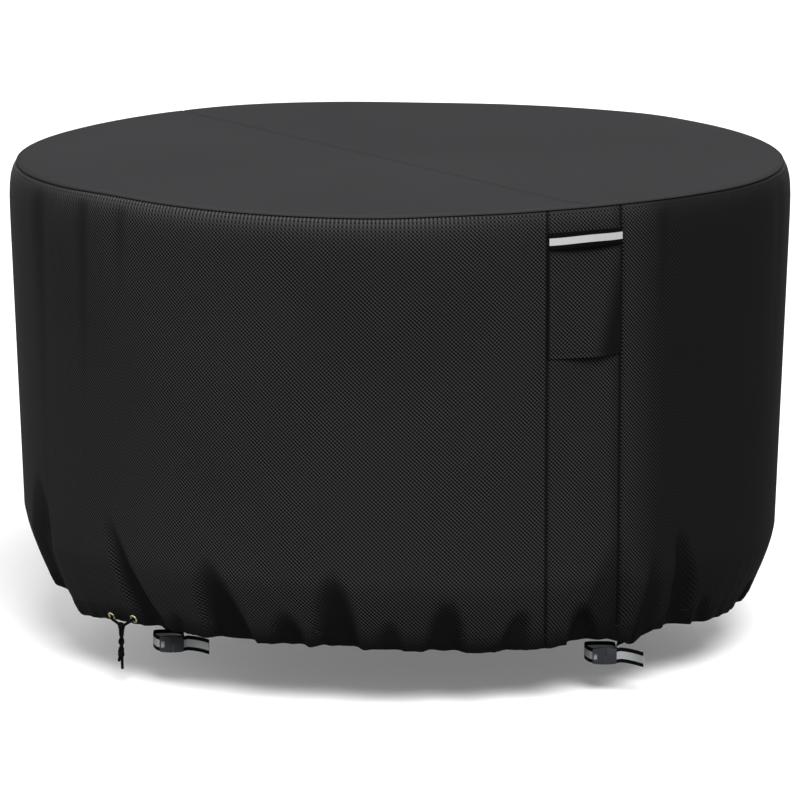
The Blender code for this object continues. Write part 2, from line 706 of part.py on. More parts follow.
def buckle(row, folder, cutters, mat):
    """A side release buckle, closed: the socket on the left, the clip on the right."""
    name, x, y, top, _ = row
    z = top - STRAP_WIDTH / 2
    half = BUCKLE_HEIGHT / 2
    inner = BUCKLE_FRONT - BUCKLE_PLATE
    place = Matrix.Translation((x + BUCKLE_SHIFT, y, z))

    def part(label, left, right, out_low, out_high, reach, home):
        obj = block(label, (left, -out_high, -reach), (right, -out_low, reach), home)
        obj.matrix_world = place
        return obj

    back = BUCKLE_BACK
    beyond = 0.005
    socket = part("buckle_socket_" + name, -BUCKLE_HALF, BUCKLE_SPLIT, back, BUCKLE_FRONT, half, folder)
    clip = part("buckle_clip_" + name, BUCKLE_SPLIT + GAP, BUCKLE_HALF, back, BUCKLE_FRONT, half, folder)
    for obj in (socket, clip):
        obj.data.materials.append(mat)
        bevel = obj.modifiers.new("edges", "BEVEL")
        bevel.width = BUCKLE_EDGE
        bevel.segments = 2
    cut(socket, part("socket_hollow_" + name, -BUCKLE_HALF - beyond, SOCKET_HOLLOW,
                     -beyond, inner, BUCKLE_CAVITY, cutters))
    left, right, high = WINDOW
    cut(socket, part("socket_window_" + name, left, right,
                     inner - beyond / 2, inner + beyond, high, cutters))
    cut(clip, part("clip_hollow_" + name, CLIP_HOLLOW, BUCKLE_HALF + beyond,
                   -beyond, inner, BUCKLE_CAVITY, cutters))
    bpy.ops.mesh.primitive_cylinder_add(vertices=12, radius=BAR_RADIUS, depth=2 * BUCKLE_CAVITY + 0.001)
    bar = bpy.context.object
    bar.name = "clip_bar_" + name
    bar.matrix_world = place @ Matrix.Translation((BAR[0], -BAR[1], 0))
    for holder in list(bar.users_collection):
        holder.objects.unlink(bar)
    cutters.objects.link(bar)
    cut(clip, bar, "UNION")


def main():
    folder, cutters = start()
    cloth = material("cover_cloth", (0.030, 0.030, 0.032), 0.75)
    top_cloth = material("top_cloth", (0.055, 0.055, 0.057), 0.75)
    web = material("webbing", (0.020, 0.020, 0.021), 0.80)
    plastic = material("buckle_plastic", (0.035, 0.037, 0.040), 0.45)
    brass = material("eyelet_brass", (0.62, 0.55, 0.36), 0.30, 1.0)
    cord = material("tie_cord", (0.010, 0.010, 0.011), 0.80)
    top_panels(folder, top_cloth)
    wall = wall_panel(folder, cloth)
    vent_strip(folder, cloth)
    vent_flap(folder, cloth)
    handle(folder, web)
    exits = eyelets(wall, folder, cutters, brass)
    tie(exits, folder, cord)
    for row in STRAPS:
        strap(row, folder, web)
        strap_tape(row, folder, web)
        buckle(row, folder, cutters, plastic)


main()
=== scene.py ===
# Round fitted cover: cloth, webbing, cord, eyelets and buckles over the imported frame.
# Metres, +Z up. The origin is the middle of the top's underside and the front faces -Y.
# Azimuths are in degrees from the front, positive to the right.
import math

import bmesh
import bpy
import numpy as np
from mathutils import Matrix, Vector


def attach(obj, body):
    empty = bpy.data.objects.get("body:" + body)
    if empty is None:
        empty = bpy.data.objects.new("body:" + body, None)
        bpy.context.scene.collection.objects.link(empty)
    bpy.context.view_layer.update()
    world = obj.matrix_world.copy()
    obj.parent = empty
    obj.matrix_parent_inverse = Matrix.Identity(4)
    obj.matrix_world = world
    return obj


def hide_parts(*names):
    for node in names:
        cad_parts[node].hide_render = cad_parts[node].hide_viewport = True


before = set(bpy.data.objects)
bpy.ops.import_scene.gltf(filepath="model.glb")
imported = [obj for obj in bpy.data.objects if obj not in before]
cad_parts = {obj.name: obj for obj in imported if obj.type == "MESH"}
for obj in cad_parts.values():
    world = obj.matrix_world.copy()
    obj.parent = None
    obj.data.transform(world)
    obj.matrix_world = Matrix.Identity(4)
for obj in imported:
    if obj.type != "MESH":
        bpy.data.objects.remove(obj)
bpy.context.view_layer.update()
print("frame loaded:", len(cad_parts), "nodes")

# How the cloth hangs. Every piece on the cover is placed from this one shape.
hang = {
    "rimRadius": 0.6293,  # half of the top, less its turned edge
    "topFace": 0.002,     # upper face of the flat top
    "lipDrop": 0.0032,    # the top's edge, turned down
    "lipRound": 0.003,
    "waveReach": 0.06,# how far the rim's dips run into the top
    "swell": 0.014,       # the wall stands out by this much under the rim
    "swellReach": 0.018,
    "taper": 0.0375,# lean inwards for each metre of drop
    "drawIn": 0.04,       # the drawcord pulls the hem in by this much
    "drawHeight": 0.115,
    "drawPower": 1.4,
    "foldEdge": 0.62,# how soft the brow of a fold is
    "foldRound": 1.55,    # 1 would give a pointed crest
    "foldDeep": 1.12,
    "seamAngle": 32.1,# the seam across the top
    "seamOffset": 0.0478,
    "stripLeft": 0.2291,# x of the strip's two upright seams
    "stripRight": 0.3453,
    "gap": 0.0004,
    "thick": 0.0016,# one layer of cloth
    "flatRadius": 0.635,  # of the cut cloth
    "scallop": 0.001,     # the hem's edge, the gathers above it and the puckers under the rim
    "gather": 0.0022,
    "gatherReach": 0.034,
    "calmAt": -50,# the gathers are small round the tie
    "calmHalf": 9,
    "pucker": 0.0013,
    "puckerReach": 0.012,
}

# azimuth, height of the rim's seam
rimLine = (
    (-169, 0.0008), (-154, 0.0028), (-141, 0.0012), (-118, -0.0025), (-90, -0.0028),
    (-60, 0.001), (-47, 0.004), (-35, 0.0008), (-22, -0.0018), (-8, -0.0028),
    (-1, -0.0022), (4, -0.0004), (10, 0.0012), (16, 0.002), (21, 0.0031), (27, 0.0037),
    (36, 0.0042), (48, 0.003), (62, 0.0), (90, -0.003), (125, 0.0),
    (136, 0.0015), (146, 0.0003), (162, -0.0012), (176, -0.002),
)

# azimuth, drop of the hem's edge
hemLine = (
    (-170, 0.71), (-140, 0.713), (-110, 0.7), (-84, 0.686), (-66, 0.714),
    (-50, 0.7005), (-30, 0.7), (-12, 0.699), (3, 0.703), (15, 0.709),
    (24, 0.7085), (31, 0.706), (36.5, 0.7105), (40.8, 0.724), (45, 0.7055), (58, 0.716),
    (78, 0.7205), (105, 0.708), (135, 0.706), (160, 0.713),
)

# azimuth at the hem, lean of the crest, height, half width, depth
folds = (
    (-71.0, 2.2, 0.235, 0.07, 0.014),
    (-42.3, -6.5, 0.19, 0.034, 0.012),
    (-36.6, 0.0, 0.045, 0.018, 0.006),
    (-27.4, -2.2, 0.142, 0.05, 0.018),
    (-17.5, 0.0, 0.062, 0.034, 0.012),
    (-9.6, -0.4, 0.134, 0.043, 0.017),
    (-1.5, 0.0, 0.055, 0.024, 0.008),
    (7.0, 0.0, 0.096, 0.038, 0.014),
    (17.6, 1.0, 0.078, 0.03, 0.011),
    (30.4, -2.6, 0.078, 0.036, 0.011),
    (32.2, 1.4, 0.18, 0.056, 0.008),
    (41.5, -1.0, 0.165, 0.026, 0.01),
    (50.0, -4.6, 0.178, 0.036, 0.016),
    (56.5, -2.0, 0.06, 0.024, 0.008),
    (73.5, 0.0, 0.05, 0.04, 0.01),
    (92.0, 2.0, 0.13, 0.048, 0.015),
    (107.0, -1.0, 0.07, 0.034, 0.011),
    (121.0, 2.0, 0.15, 0.046, 0.016),
    (138.0, 0.0, 0.08, 0.038, 0.012),
    (153.0, -2.5, 0.125, 0.05, 0.016),
    (169.0, 0.5, 0.06, 0.032, 0.01),
    (184.0, 2.0, 0.155, 0.048, 0.017),
    (201.0, 0.0, 0.075, 0.036, 0.012),
    (216.0, -2.0, 0.14, 0.046, 0.015),
    (233.0, 1.0, 0.09, 0.042, 0.013),
    (249.0, -1.5, 0.165, 0.052, 0.016),
    (266.0, 0.0, 0.06, 0.034, 0.01),
    (276.0, 1.0, 0.12, 0.04, 0.012),
)

# Soft upright creases: azimuth, half width in degrees, lowest drop, how far they stand out
creases = (
    (-57.0, 3.0, 0.56, 0.003), (-52.0, 2.6, 0.5, -0.0036), (-47.4, 2.4, 0.3, 0.002), (-64.5, 4.2, 0.66, -0.003),
    (-43.5, 2.3, 0.24, -0.0028), (40.4, 2.2, 0.4, -0.0026), (44.8, 2.6, 0.34, 0.0014), (73.0, 3.8, 0.5, -0.0014),
    (98.0, 3.4, 0.44, 0.0022), (129.0, 4.0, 0.52, -0.003), (133.5, 2.6, 0.4, 0.002), (164.0, 3.2, 0.36, 0.0022),
    (188.0, 3.0, 0.3, -0.002), (207.0, 4.0, 0.5, -0.0028), (243.0, 3.4, 0.42, 0.0022), (262.0, 3.2, 0.4, -0.0026),
)

# Waves per turn, share, phase: the small puckers of the rim's seam and of the gathered hem
rimPuckers = ((211, 0.4, 0.3), (287, 0.34, 1.9), (353, 0.26, 4.0))
hemGathers = ((97, 0.34, 0.5), (131, 0.3, 2.6), (173, 0.22, 4.4), (61, 0.3, 1.2))
hemScallops = ((83, 0.5, 1.0), (119, 0.5, 3.3))


def smoothStep(t):
    t = np.clip(t, 0.0, 1.0)
    return t * t * (3 - 2 * t)


def bump(t):
    # one soft hump: 1 at t = 0, falling smoothly to nothing at t = -1 and 1
    return smoothStep(1 - np.abs(t))


def dip(t):
    # a bell that never quite ends: e to the power of -t squared
    return np.exp(-(t**2))


def around(table, azimuth):
    # a smooth closed curve through rows of azimuth and value, in cubic pieces with their neighbours' slopes
    angles, values = np.array(table, float).T
    angles = np.concatenate((angles[-2:] - 360, angles, angles[:3] + 360))
    values = np.concatenate((values[-2:], values, values[:3]))
    a = (np.asarray(azimuth, float) - angles[1]) % 360 + angles[1]
    i = np.clip(np.searchsorted(angles, a, side="right") - 1, 1, len(angles) - 3)
    span = angles[i + 1] - angles[i]
    t = (a - angles[i]) / span
    before = (values[i + 1] - values[i - 1]) / (angles[i + 1] - angles[i - 1]) * span
    after = (values[i + 2] - values[i]) / (angles[i + 2] - angles[i]) * span
    return (values[i] * (2 * t**3 - 3 * t**2 + 1) + before * (t**3 - 2 * t**2 + t)
            + values[i + 1] * (3 * t**2 - 2 * t**3) + after * (t**3 - t**2))


def waves(azimuth, rows):
    # a sum of sine waves round the cover
    turn = np.radians(azimuth)
    return sum(share * np.sin(count * turn + phase) for count, share, phase in rows)


def rimHeight(azimuth):
    return around(rimLine, azimuth)


def wallTop(azimuth):
    return rimHeight(azimuth) - hang["lipDrop"]


def hemHeight(azimuth):
    return -around(hemLine, azimuth) + hang["scallop"] * waves(azimuth, hemScallops)


def turnFrom(azimuth, at):
    # the shorter way round, in degrees
    return (azimuth - at + 180) % 360 - 180


def foldInside(azimuth, above):
    # for each fold, 1 in its middle at the hem, 0 on its outline and less than that outside:
    # the outline is a rounded arch standing on the hem
    for at, lean, crest, half, depth in folds:
        up = np.maximum(above / crest, 0)
        turn = turnFrom(azimuth, at + lean * np.clip(up, 0, 1))
        side = np.radians(turn) * hang["rimRadius"] / half
        yield (1 - up ** hang["foldRound"]) - side**2, depth


def foldSink(azimuth, above):
    # inside each fold's outline the cloth sinks in by a smooth step
    return sum(depth * hang["foldDeep"] * smoothStep(inside / hang["foldEdge"])
               for inside, depth in foldInside(azimuth, above))


def foldShade(azimuth, above):
    # how far the nap is pressed down and painted shade is laid in the folds' hollows: softer than their shape, most in
    # the deep ones
    return np.clip(sum(min(depth / 0.013, 1.0) * smoothStep((inside + 0.16) / 0.95)
                       for inside, depth in foldInside(azimuth, above)), 0, 1)


def creaseRise(azimuth, below):
    # soft humps and hollows that fade in under the rim, then lean, narrow and fade out
    total = 0.0
    for at, half, lowest, out in creases:
        down = np.clip(below / lowest, 0, 1)
        turn = turnFrom(azimuth - at, 1.6 * np.sign(out) * down**2)
        width = half * (1 - 0.6 * down)
        total = total + out * bump(turn / width) * smoothStep(below / 0.03) * (1 - down) ** 1.3
    return total


def clothRadius(azimuth, z):
    # the wall's outer face: a cone with a swollen shoulder and a drawn-in foot, less its folds,
    # with puckers that die away from the rim's seam and gathers that die away from the hem
    h = hang
    azimuth, z = np.broadcast_arrays(np.asarray(azimuth, float), np.asarray(z, float))
    below = np.maximum(wallTop(azimuth) - z, 0)
    above = z - hemHeight(azimuth)
    swell = h["swell"] * (1 - np.exp(-below / h["swellReach"]))
    drawn = h["drawIn"] * np.clip(1 - above / h["drawHeight"], 0, 1) ** h["drawPower"]
    calm = 1 - 0.9 * bump((azimuth - h["calmAt"]) / h["calmHalf"])
    gather = h["gather"] * waves(azimuth, hemGathers) * np.exp(-np.maximum(above, 0) / h["gatherReach"]) * calm
    pucker = h["pucker"] * waves(azimuth, rimPuckers) * np.exp(-below / h["puckerReach"]) * smoothStep(below / 0.002)
    return (h["rimRadius"] + swell - h["taper"] * below - drawn - foldSink(azimuth, above)
            + creaseRise(azimuth, below) + gather + pucker)


def polar(radius, azimuth, z):
    # points by their distance from the cover's axis, azimuth and height
    turn = np.radians(azimuth)
    return np.stack((radius * np.sin(turn), -radius * np.cos(turn), z), axis=-1)


def onCloth(azimuth, z, out=0.0):
    # points on the wall's outer face, or that far outside it
    azimuth, z = np.broadcast_arrays(np.asarray(azimuth, float), np.asarray(z, float))
    return polar(clothRadius(azimuth, z) + out, azimuth, z)


def clothNormal(azimuth, z):
    # the cross product of a short step to the right and a short step up
    side = onCloth(azimuth + 0.15, z) - onCloth(azimuth - 0.15, z)
    rise = onCloth(azimuth, z + 0.0015) - onCloth(azimuth, z - 0.0015)
    return unit(np.cross(side, rise))


def unit(v):
    return v / np.maximum(np.linalg.norm(v, axis=-1, keepdims=True), 1e-12)


def seamAzimuth(x, z):
    # where the wall meets the upright plane at x, on the front side
    azimuth = np.degrees(np.arcsin(x / hang["rimRadius"])) + np.zeros_like(np.asarray(z, float))
    for _ in range(12):
        azimuth = np.degrees(np.arcsin(x / clothRadius(azimuth, z)))
    return azimuth


def distances(path):
    # how far along the path each of its points lies
    return np.concatenate(([0], np.cumsum(np.linalg.norm(np.diff(path, axis=0), axis=1))))


def placesAt(path, at):
    # the points at those distances along the path
    along = distances(path)
    return np.stack([np.interp(at, along, path[:, k]) for k in range(3)], axis=1)


def through(points, steps):
    # a smooth open curve through the points, with that many steps from one to the next
    p = np.array(points, float)
    p = np.vstack((2 * p[0] - p[1], p, 2 * p[-1] - p[-2]))
    t = (np.arange(steps) / steps)[None, :, None]
    a, b, c, d = p[:-3, None], p[1:-2, None], p[2:-1, None], p[3:, None]
    curve = 0.5 * (2 * b + (c - a) * t + (2 * a - 5 * b + 4 * c - d) * t**2 + (3 * b - a - 3 * c + d) * t**3)
    return np.vstack((curve.reshape(-1, p.shape[1]), p[-2:-1]))


def roundedRoute(points, radius, step):
    # straight lengths joined by arcs of one radius, then points at an even step along the whole
    p = np.array(points, float)
    pieces = [p[:1]]
    for a, b, c in zip(p[:-2], p[1:-1], p[2:]):
        u, v = unit(b - a), unit(c - b)
        turn = math.acos(np.clip(u @ v, -1, 1))
        reach = min(radius * math.tan(turn / 2), 0.49 * np.linalg.norm(b - a), 0.49 * np.linalg.norm(c - b))
        bend = reach / math.tan(turn / 2)
        angle = np.linspace(0, turn, 13)[:, None]
        pieces.append(b - u * reach + bend * (np.sin(angle) * u + (1 - np.cos(angle)) * unit(v - u * (u @ v))))
    line = np.concatenate(pieces + [p[-1:]])
    length = distances(line)[-1]
    return placesAt(line, np.linspace(0, length, int(length / step) + 1))


def spacedAlong(path, pitch):
    # points at an even pitch along the path, with the direction there
    at = np.arange(pitch / 2, distances(path)[-1], pitch)
    return placesAt(path, at), placesAt(path, at + pitch / 3) - placesAt(path, at - pitch / 3)


def gridFaces(rows, columns, closed=False):
    # quads facing outwards where rows run down and columns run to the right
    last = columns if closed else columns - 1
    r = np.arange(rows - 1)[:, None] * columns
    c = np.arange(last)[None, :]
    right = (c + 1) % columns
    return np.stack((r + c, r + columns + c, r + columns + right, r + right), axis=-1).reshape(-1, 4)


def gridCorners(uv):
    # the flat places of every face's corners, in the order of gridFaces
    return np.stack((uv[:-1, :-1], uv[1:, :-1], uv[1:, 1:], uv[:-1, 1:]), axis=2).reshape(-1, 4, 2)


def sheetPart(points, flat):
    return points, gridFaces(*points.shape[:2]), gridCorners(flat)


def ringPart(points):
    # a grid that closes on itself sideways, without flat places
    faces = gridFaces(*points.shape[:2], True)
    return points, faces, np.zeros((faces.size, 2))


def addObject(name, data):
    obj = bpy.data.objects.new(name, data)
    bpy.context.scene.collection.objects.link(obj)
    return obj


def mergeDoubles(form, distance=1e-6):
    bmesh.ops.remove_doubles(form, verts=form.verts, dist=distance)


def turnOutwards(form):
    bmesh.ops.recalc_face_normals(form, faces=form.faces)


def rework(mesh, *steps):
    # each step changes the mesh as one bmesh form
    form = bmesh.new()
    form.from_mesh(mesh)
    for step in steps:
        step(form)
    form.to_mesh(mesh)
    form.free()


def makePiece(name, parts, material, node=None, angle=50, weld=0.0):
    # parts are (points, faces, flat places of the face corners); each is added after the last one
    mesh = bpy.data.meshes.new(name)
    points = [p.reshape(-1, 3) for p, _, _ in parts]
    starts = np.cumsum([0] + [len(p) for p in points[:-1]])
    faces = np.concatenate([f + start for (_, f, _), start in zip(parts, starts)])
    corners = np.concatenate([flat.reshape(-1, 2) for _, _, flat in parts])
    points = np.concatenate(points)
    mesh.vertices.add(len(points))
    mesh.vertices.foreach_set("co", points.astype(np.float32).ravel())
    mesh.loops.add(faces.size)
    mesh.loops.foreach_set("vertex_index", faces.astype(np.int32).ravel())
    mesh.polygons.add(len(faces))
    mesh.polygons.foreach_set("loop_start", np.arange(0, faces.size, faces.shape[1], dtype=np.int32))
    mesh.uv_layers.new(name="flat").uv.foreach_set("vector", corners.astype(np.float32).ravel())
    mesh.update(calc_edges=True)
    mesh.validate()
    if weld:
        rework(mesh, lambda form: mergeDoubles(form, weld))
    mesh.shade_smooth()
    mesh.set_sharp_from_angle(angle=math.radians(angle))
    mesh.materials.append(material)
    obj = addObject(name, mesh)
    if node:
        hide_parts(*([node] if isinstance(node, str) else node))
    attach(obj, "root")
    return obj


def thicken(obj, thickness):
    # cloth thickness, inwards from the outer face
    mod = obj.modifiers.new("thickness", "SOLIDIFY")
    mod.thickness = thickness
    mod.offset = -1.0


def tube(path, radius, across, sides, rounded=True):
    # a circle carried along a path, closed at both ends; the braid lifts it where two sets of
    # spirals cross. across is a direction never parallel to the path.
    along = distances(path)
    tangent = unit(np.gradient(path, axis=0))
    side = unit(np.cross(tangent, across))
    other = np.cross(side, tangent)
    angle = np.linspace(0, 2 * np.pi, sides, endpoint=False)[None, :]
    spiral = 2 * np.pi * tie["braidTurns"] * along[:, None]
    lift = 1 + tie["braid"] * np.cos(4 * angle + spiral) * np.cos(4 * angle - spiral)
    ring = side[:, None] * np.cos(angle)[..., None] + other[:, None] * np.sin(angle)[..., None]
    body = path[:, None] + ring * (radius * lift)[..., None]
    turn = np.radians((0, 30, 60, 90) if rounded else (0, 0.1, 60, 90))[:, None, None]
    bulge = radius * (0.45 if rounded else 0.06) * np.sin(turn)
    first, last = (path[end] + ring[end] * radius * np.cos(turn) + outward * bulge
                   for end, outward in ((0, -tangent[0]), (-1, tangent[-1])))
    points = np.concatenate((first[::-1], body[1:-1], last))
    v = np.concatenate((np.full(4, along[0]), along[1:-1], np.full(4, along[-1])))
    u = np.arange(sides + 1) / sides * 2 * np.pi * radius
    flat = np.stack(np.broadcast_arrays(u[None, :], v[:, None]), axis=-1)
    return points, gridFaces(len(points), sides, True)[:, ::-1], gridCorners(flat)[:, ::-1]


def stitchRow(points, normals, along, half, radius):
    # one thread capsule at each point: three rings of six and two poles, its ends sunk into the cloth
    t = np.array((-0.72, 0.0, 0.72))
    size = np.array((0.72, 1.0, 0.72))
    ring = np.radians(np.arange(6) * 60)[None, None, :, None]
    normals, along = unit(normals), unit(along)
    across = np.cross(normals, along)
    lift = radius * (1.1 * (1 - t**2) - 0.55)
    centre = points[:, None] + along[:, None] * (t * half)[None, :, None] + normals[:, None] * lift[None, :, None]
    outwards = across[:, None, None] * np.cos(ring) + normals[:, None, None] * np.sin(ring)
    rings = centre[:, :, None] + outwards * (radius * size)[None, :, None, None]
    sunk = points - normals * radius * 0.6
    poles = np.stack((sunk - along * half, sunk + along * half), axis=1)
    count = len(points)
    verts = np.concatenate((poles, rings.reshape(count, 18, 3)), axis=1)
    i = np.arange(6)
    j = (i + 1) % 6
    faces = [(0 * i, 2 + j, 2 + i), (0 * i + 1, 14 + i, 14 + j)]
    for a in (2, 8):
        faces += [(a + i, a + j, a + 6 + j), (a + i, a + 6 + j, a + 6 + i)]
    faces = np.concatenate([np.stack(face, axis=1) for face in faces])
    every = (faces[None] + (np.arange(count) * 20)[:, None, None]).reshape(-1, 3)
    return verts, every, np.zeros((every.size, 2))


# Materials. Patterns follow the pieces' own flat places, in metres of cloth.
class Value:
    # a number or colour in a shader; sums and products of it become math nodes
    def __init__(self, shader, socket):
        self.shader, self.socket = shader, socket

    def __add__(self, other):
        return self.shader.math("ADD", self, other)

    def __sub__(self, other):
        return self.shader.math("SUBTRACT", self, other)

    def __rsub__(self, other):
        return self.shader.math("SUBTRACT", other, self)

    def __mul__(self, other):
        return self.shader.math("MULTIPLY", self, other)


class Shader:
    # a Principled material with short ways to add its nodes
    def __init__(self, name, roughness, specular=0.5, metallic=0.0):
        self.mat = bpy.data.materials.new(name)
        self.mat.use_nodes = True
        self.nodes = self.mat.node_tree.nodes
        self.base = self.nodes["Principled BSDF"]
        values = {"Roughness": roughness, "Specular IOR Level": specular, "Metallic": metallic, "IOR": 1.45}
        for key, value in values.items():
            self.base.inputs[key].default_value = value

    def put(self, socket, value):
        # a link from a node's output, or a fixed value
        value = getattr(value, "socket", value)
        if isinstance(value, bpy.types.NodeSocket):
            self.mat.node_tree.links.new(value, socket)
        else:
            socket.default_value = (*value, 1.0) if isinstance(value, tuple) else value

    def add(self, kind, inputs=(), **settings):
        node = self.nodes.new(kind)
        for key, value in settings.items():
            setattr(node, key, value)
        for key, value in inputs:
            self.put(node.inputs[key], value)
        return node

    def value(self, output, kind, inputs=(), **settings):
        return Value(self, self.add(kind, inputs, **settings).outputs[output])

    def math(self, kind, a, b=0.0, clamp=False):
        return self.value(0, "ShaderNodeMath", ((0, a), (1, b)), operation=kind, use_clamp=clamp)

    def cos(self, value):
        return self.math("COSINE", value)

    def flat(self):
        split = self.add("ShaderNodeSeparateXYZ", ((0, self.add("ShaderNodeUVMap", uv_map="flat").outputs[0]),))
        return Value(self, split.outputs[0]), Value(self, split.outputs[1])

    def attribute(self, name):
        return self.value("Fac", "ShaderNodeAttribute", attribute_name=name)

    def noise(self, scale, detail=2.0):
        where = self.value("Object", "ShaderNodeTexCoord")
        return self.value(0, "ShaderNodeTexNoise", (("Vector", where), ("Scale", scale), ("Detail", detail)))

    def ramp(self, value, stops):
        node = self.add("ShaderNodeValToRGB", ((0, value),))
        for element, (at, colour) in zip(node.color_ramp.elements, stops):
            element.position = at
            element.color = (*colour, 1.0)
        return Value(self, node.outputs[0])

    def mix(self, share, a, b, kind="MIX"):
        return self.value(2, "ShaderNodeMix", ((0, share), (6, a), (7, b)), data_type="RGBA", blend_type=kind)

    def colour(self, value):
        self.put(self.base.inputs["Base Color"], value)

    def relief(self, height, distance, strength):
        node = self.add("ShaderNodeBump", (("Height", height), ("Distance", distance), ("Strength", strength)))
        self.put(self.base.inputs["Normal"], node.outputs[0])


wovenLook = {
    "across": 0.0064, # the diamonds of the weave: width and height
    "down": 0.0062,
    "falling": 0.31,# how strongly the two sets of ribs show
    "rising": 0.19,
    "dark": (0.0003, 0.0003, 0.0004),
    "light": (0.033, 0.0334, 0.0332),
    # shade: the painted shade colour where the nap lies flat; strained: paler strokes, strained weave and painted
    # highlight
    "shade": (0.0044, 0.0046, 0.005),
    "strainedGlint": (0.072, 0.072, 0.073),
    "grain": 900.0,
    "relief": 0.00025,
}


def wovenCloth():
    # Two sets of slanting ribs, the falling ones stronger, cross in a lattice of light diamonds, partly the weave and
    # partly painted glints of its yarn.
    # The nap attribute says how far they stand out: where the nap lies flat the cloth is smooth and its colour turns to
    # the shade colour: painted shade.
    # The tug attribute turns the lattice into upright strokes of paler, strained weave, which also stand for puckers
    # catching the light: painted highlight.
    look = wovenLook
    s = Shader("wovenCloth", 0.75, specular=0.04)
    u, v = s.flat()
    wobble = (s.noise(16.0, 1.0) - 0.5) * 0.9
    a = u * (2 * math.pi / look["across"])
    b = v * (2 * math.pi / look["down"])
    lattice = s.cos(a - b + wobble) * look["falling"] + (s.cos(a + b) * look["rising"] + 0.5)
    napAndShade, tugAndGlint = s.attribute("napAndShade"), s.attribute("tugAndGlint")
    stroke = s.cos(a + wobble * 2.0) * 0.5 + 0.62
    lattice = lattice * (1.0 - tugAndGlint * 0.7) + stroke * tugAndGlint * 0.7
    tone = (s.noise(look["grain"]) - 0.5) * 0.35 + lattice
    pattern = s.ramp(tone, ((0.30, look["dark"]), (0.78, look["light"])))
    cloud = s.noise(3.2, 3.0) * 0.5 + 0.75
    pattern = s.mix(1.0, pattern, s.ramp(cloud, ((0.0, (0, 0, 0)), (1.0, (1, 1, 1)))), "MULTIPLY")
    # painted shade where the nap attribute is low, painted highlight in the paler strokes where tug is high
    paintedShadePattern = s.mix(napAndShade, look["shade"], pattern)
    s.colour(s.mix(tugAndGlint * napAndShade * 0.8, paintedShadePattern, s.mix(stroke, paintedShadePattern, look["strainedGlint"])))
    s.relief(tone * napAndShade, look["relief"], 0.8)
    return s.mat


# The top's colours are paler than the wall's: painted light for the light and sheen on top.
litTopLook = {"dark": (0.03, 0.03, 0.0314), "light": (0.0422, 0.0422, 0.0442), "pitch": 0.0032, "relief": 0.00008}


def smoothLitCloth():
    # the top's cloth: the same yarn pressed smooth, so that its lattice hardly shows, and coloured paler than the
    # wall's to stand for the stronger light and sheen on top: painted light
    look = litTopLook
    s = Shader("smoothLitCloth", 0.9, specular=0.0)
    u, v = s.flat()
    k = 2 * math.pi / look["pitch"]
    lattice = s.cos((u - v) * k) * 0.2 + (s.cos((u + v) * k) * 0.2 + 0.5)
    grain = s.noise(700.0) * 0.4 + lattice * 0.6
    cloud = s.noise(2.2, 3.0) * 0.35 + grain * 0.65
    s.colour(s.ramp(cloud, ((0.25, look["dark"]), (0.75, look["light"]))))
    s.relief(grain, look["relief"], 0.6)
    return s.mat


webLook = {"rib": 0.0016, "slant": 3.0, "soft": 0.03, "edge": (0.0024, 0.0024, 0.0026)}


def wovenTape(name, stripe, pale, dim, width):
    # webbing: u runs along it and v across it, 0 in the middle. Fine herringbone ribs, black
    # selvedges, and a pale woven stripe down the middle.
    look = webLook
    s = Shader(name, 0.85, specular=0.04)
    u, v = s.flat()
    side = s.math("ABSOLUTE", s.math("DIVIDE", v, width / 2))
    along, slant = u * (2 * math.pi / look["rib"]), side * (2 * math.pi * look["slant"])
    weave = s.cos(along + slant) * 0.25 + (s.cos(along - slant) * 0.25 + 0.5)
    middle = s.mix(s.noise(420.0) * 0.5 + weave * 0.5, dim, pale)
    edge = s.math("DIVIDE", side - (stripe - look["soft"] / 2), look["soft"], clamp=True)
    dark = s.ramp(weave, [(at, tuple(share * c for c in look["edge"])) for at, share in ((0.0, 0.6), (1.0, 1.5))])
    s.colour(s.mix(edge, middle, dark))
    s.relief(weave, 0.00012, 0.9)
    return s.mat


def braidedCord():
    # two sets of spirals that cross: the product of two cosines
    s = Shader("braidedCord", 0.85, specular=0.04)
    u, v = s.flat()
    a, b = u * (2 * math.pi / 0.0018), v * (2 * math.pi / 0.003)
    tone = s.cos(a + b) * s.cos(a - b) * 0.5 + 0.5
    s.colour(s.ramp(tone, ((0.1, (0.001, 0.001, 0.0011)), (0.9, (0.0048, 0.0048, 0.0051)))))
    s.relief(tone, 0.00025, 0.9)
    return s.mat


def grainy(name, roughness, specular, metallic, scale, detail, stops, relief):
    # one material with a fine grain between two tones
    s = Shader(name, roughness, specular, metallic)
    grain = s.noise(scale, detail)
    s.colour(s.ramp(grain, stops))
    if relief:
        s.relief(grain, relief, 0.5)
    return s.mat


cloth = wovenCloth()
topCloth = smoothLitCloth()
cord = braidedCord()
brass = grainy("polishedBrass", 0.28, 0.5, 1.0, 260.0, 3.0,
               ((0.3, (0.5, 0.4, 0.2)), (0.7, (0.82, 0.74, 0.5))), 0.00004)
plastic = grainy("mouldedPlastic", 0.5, 0.18, 0.0, 1500.0, 2.0,
                 ((0.2, (0.019, 0.021, 0.024)), (0.8, (0.028, 0.03, 0.034))), 0.00004)
thread = grainy("sewingThread", 0.75, 0.1, 0.0, 1800.0, 1.0,
                ((0.2, (0.0025, 0.0025, 0.0028)), (0.8, (0.008, 0.008, 0.0085))), 0.0)
print("materials made")

# Camera: ten metres in front, a little above, looking slightly down.
camera = addObject("camera", bpy.data.cameras.new("camera"))
camera.location = (0.0, -10.0, 1.4832)
camera.rotation_euler = (math.radians(79.285), 0.0, 0.0)
camera.data.angle = math.radians(7.438)
camera.data.clip_end = 100.0
bpy.context.scene.camera = camera


def outAndAlong(azimuth):
    # level directions there: away from the axis, and to the right along the wall
    turn = math.radians(azimuth)
    return np.array((math.sin(turn), -math.cos(turn), 0.0)), np.array((math.cos(turn), math.sin(turn), 0.0))


up = np.array((0.0, 0.0, 1.0))

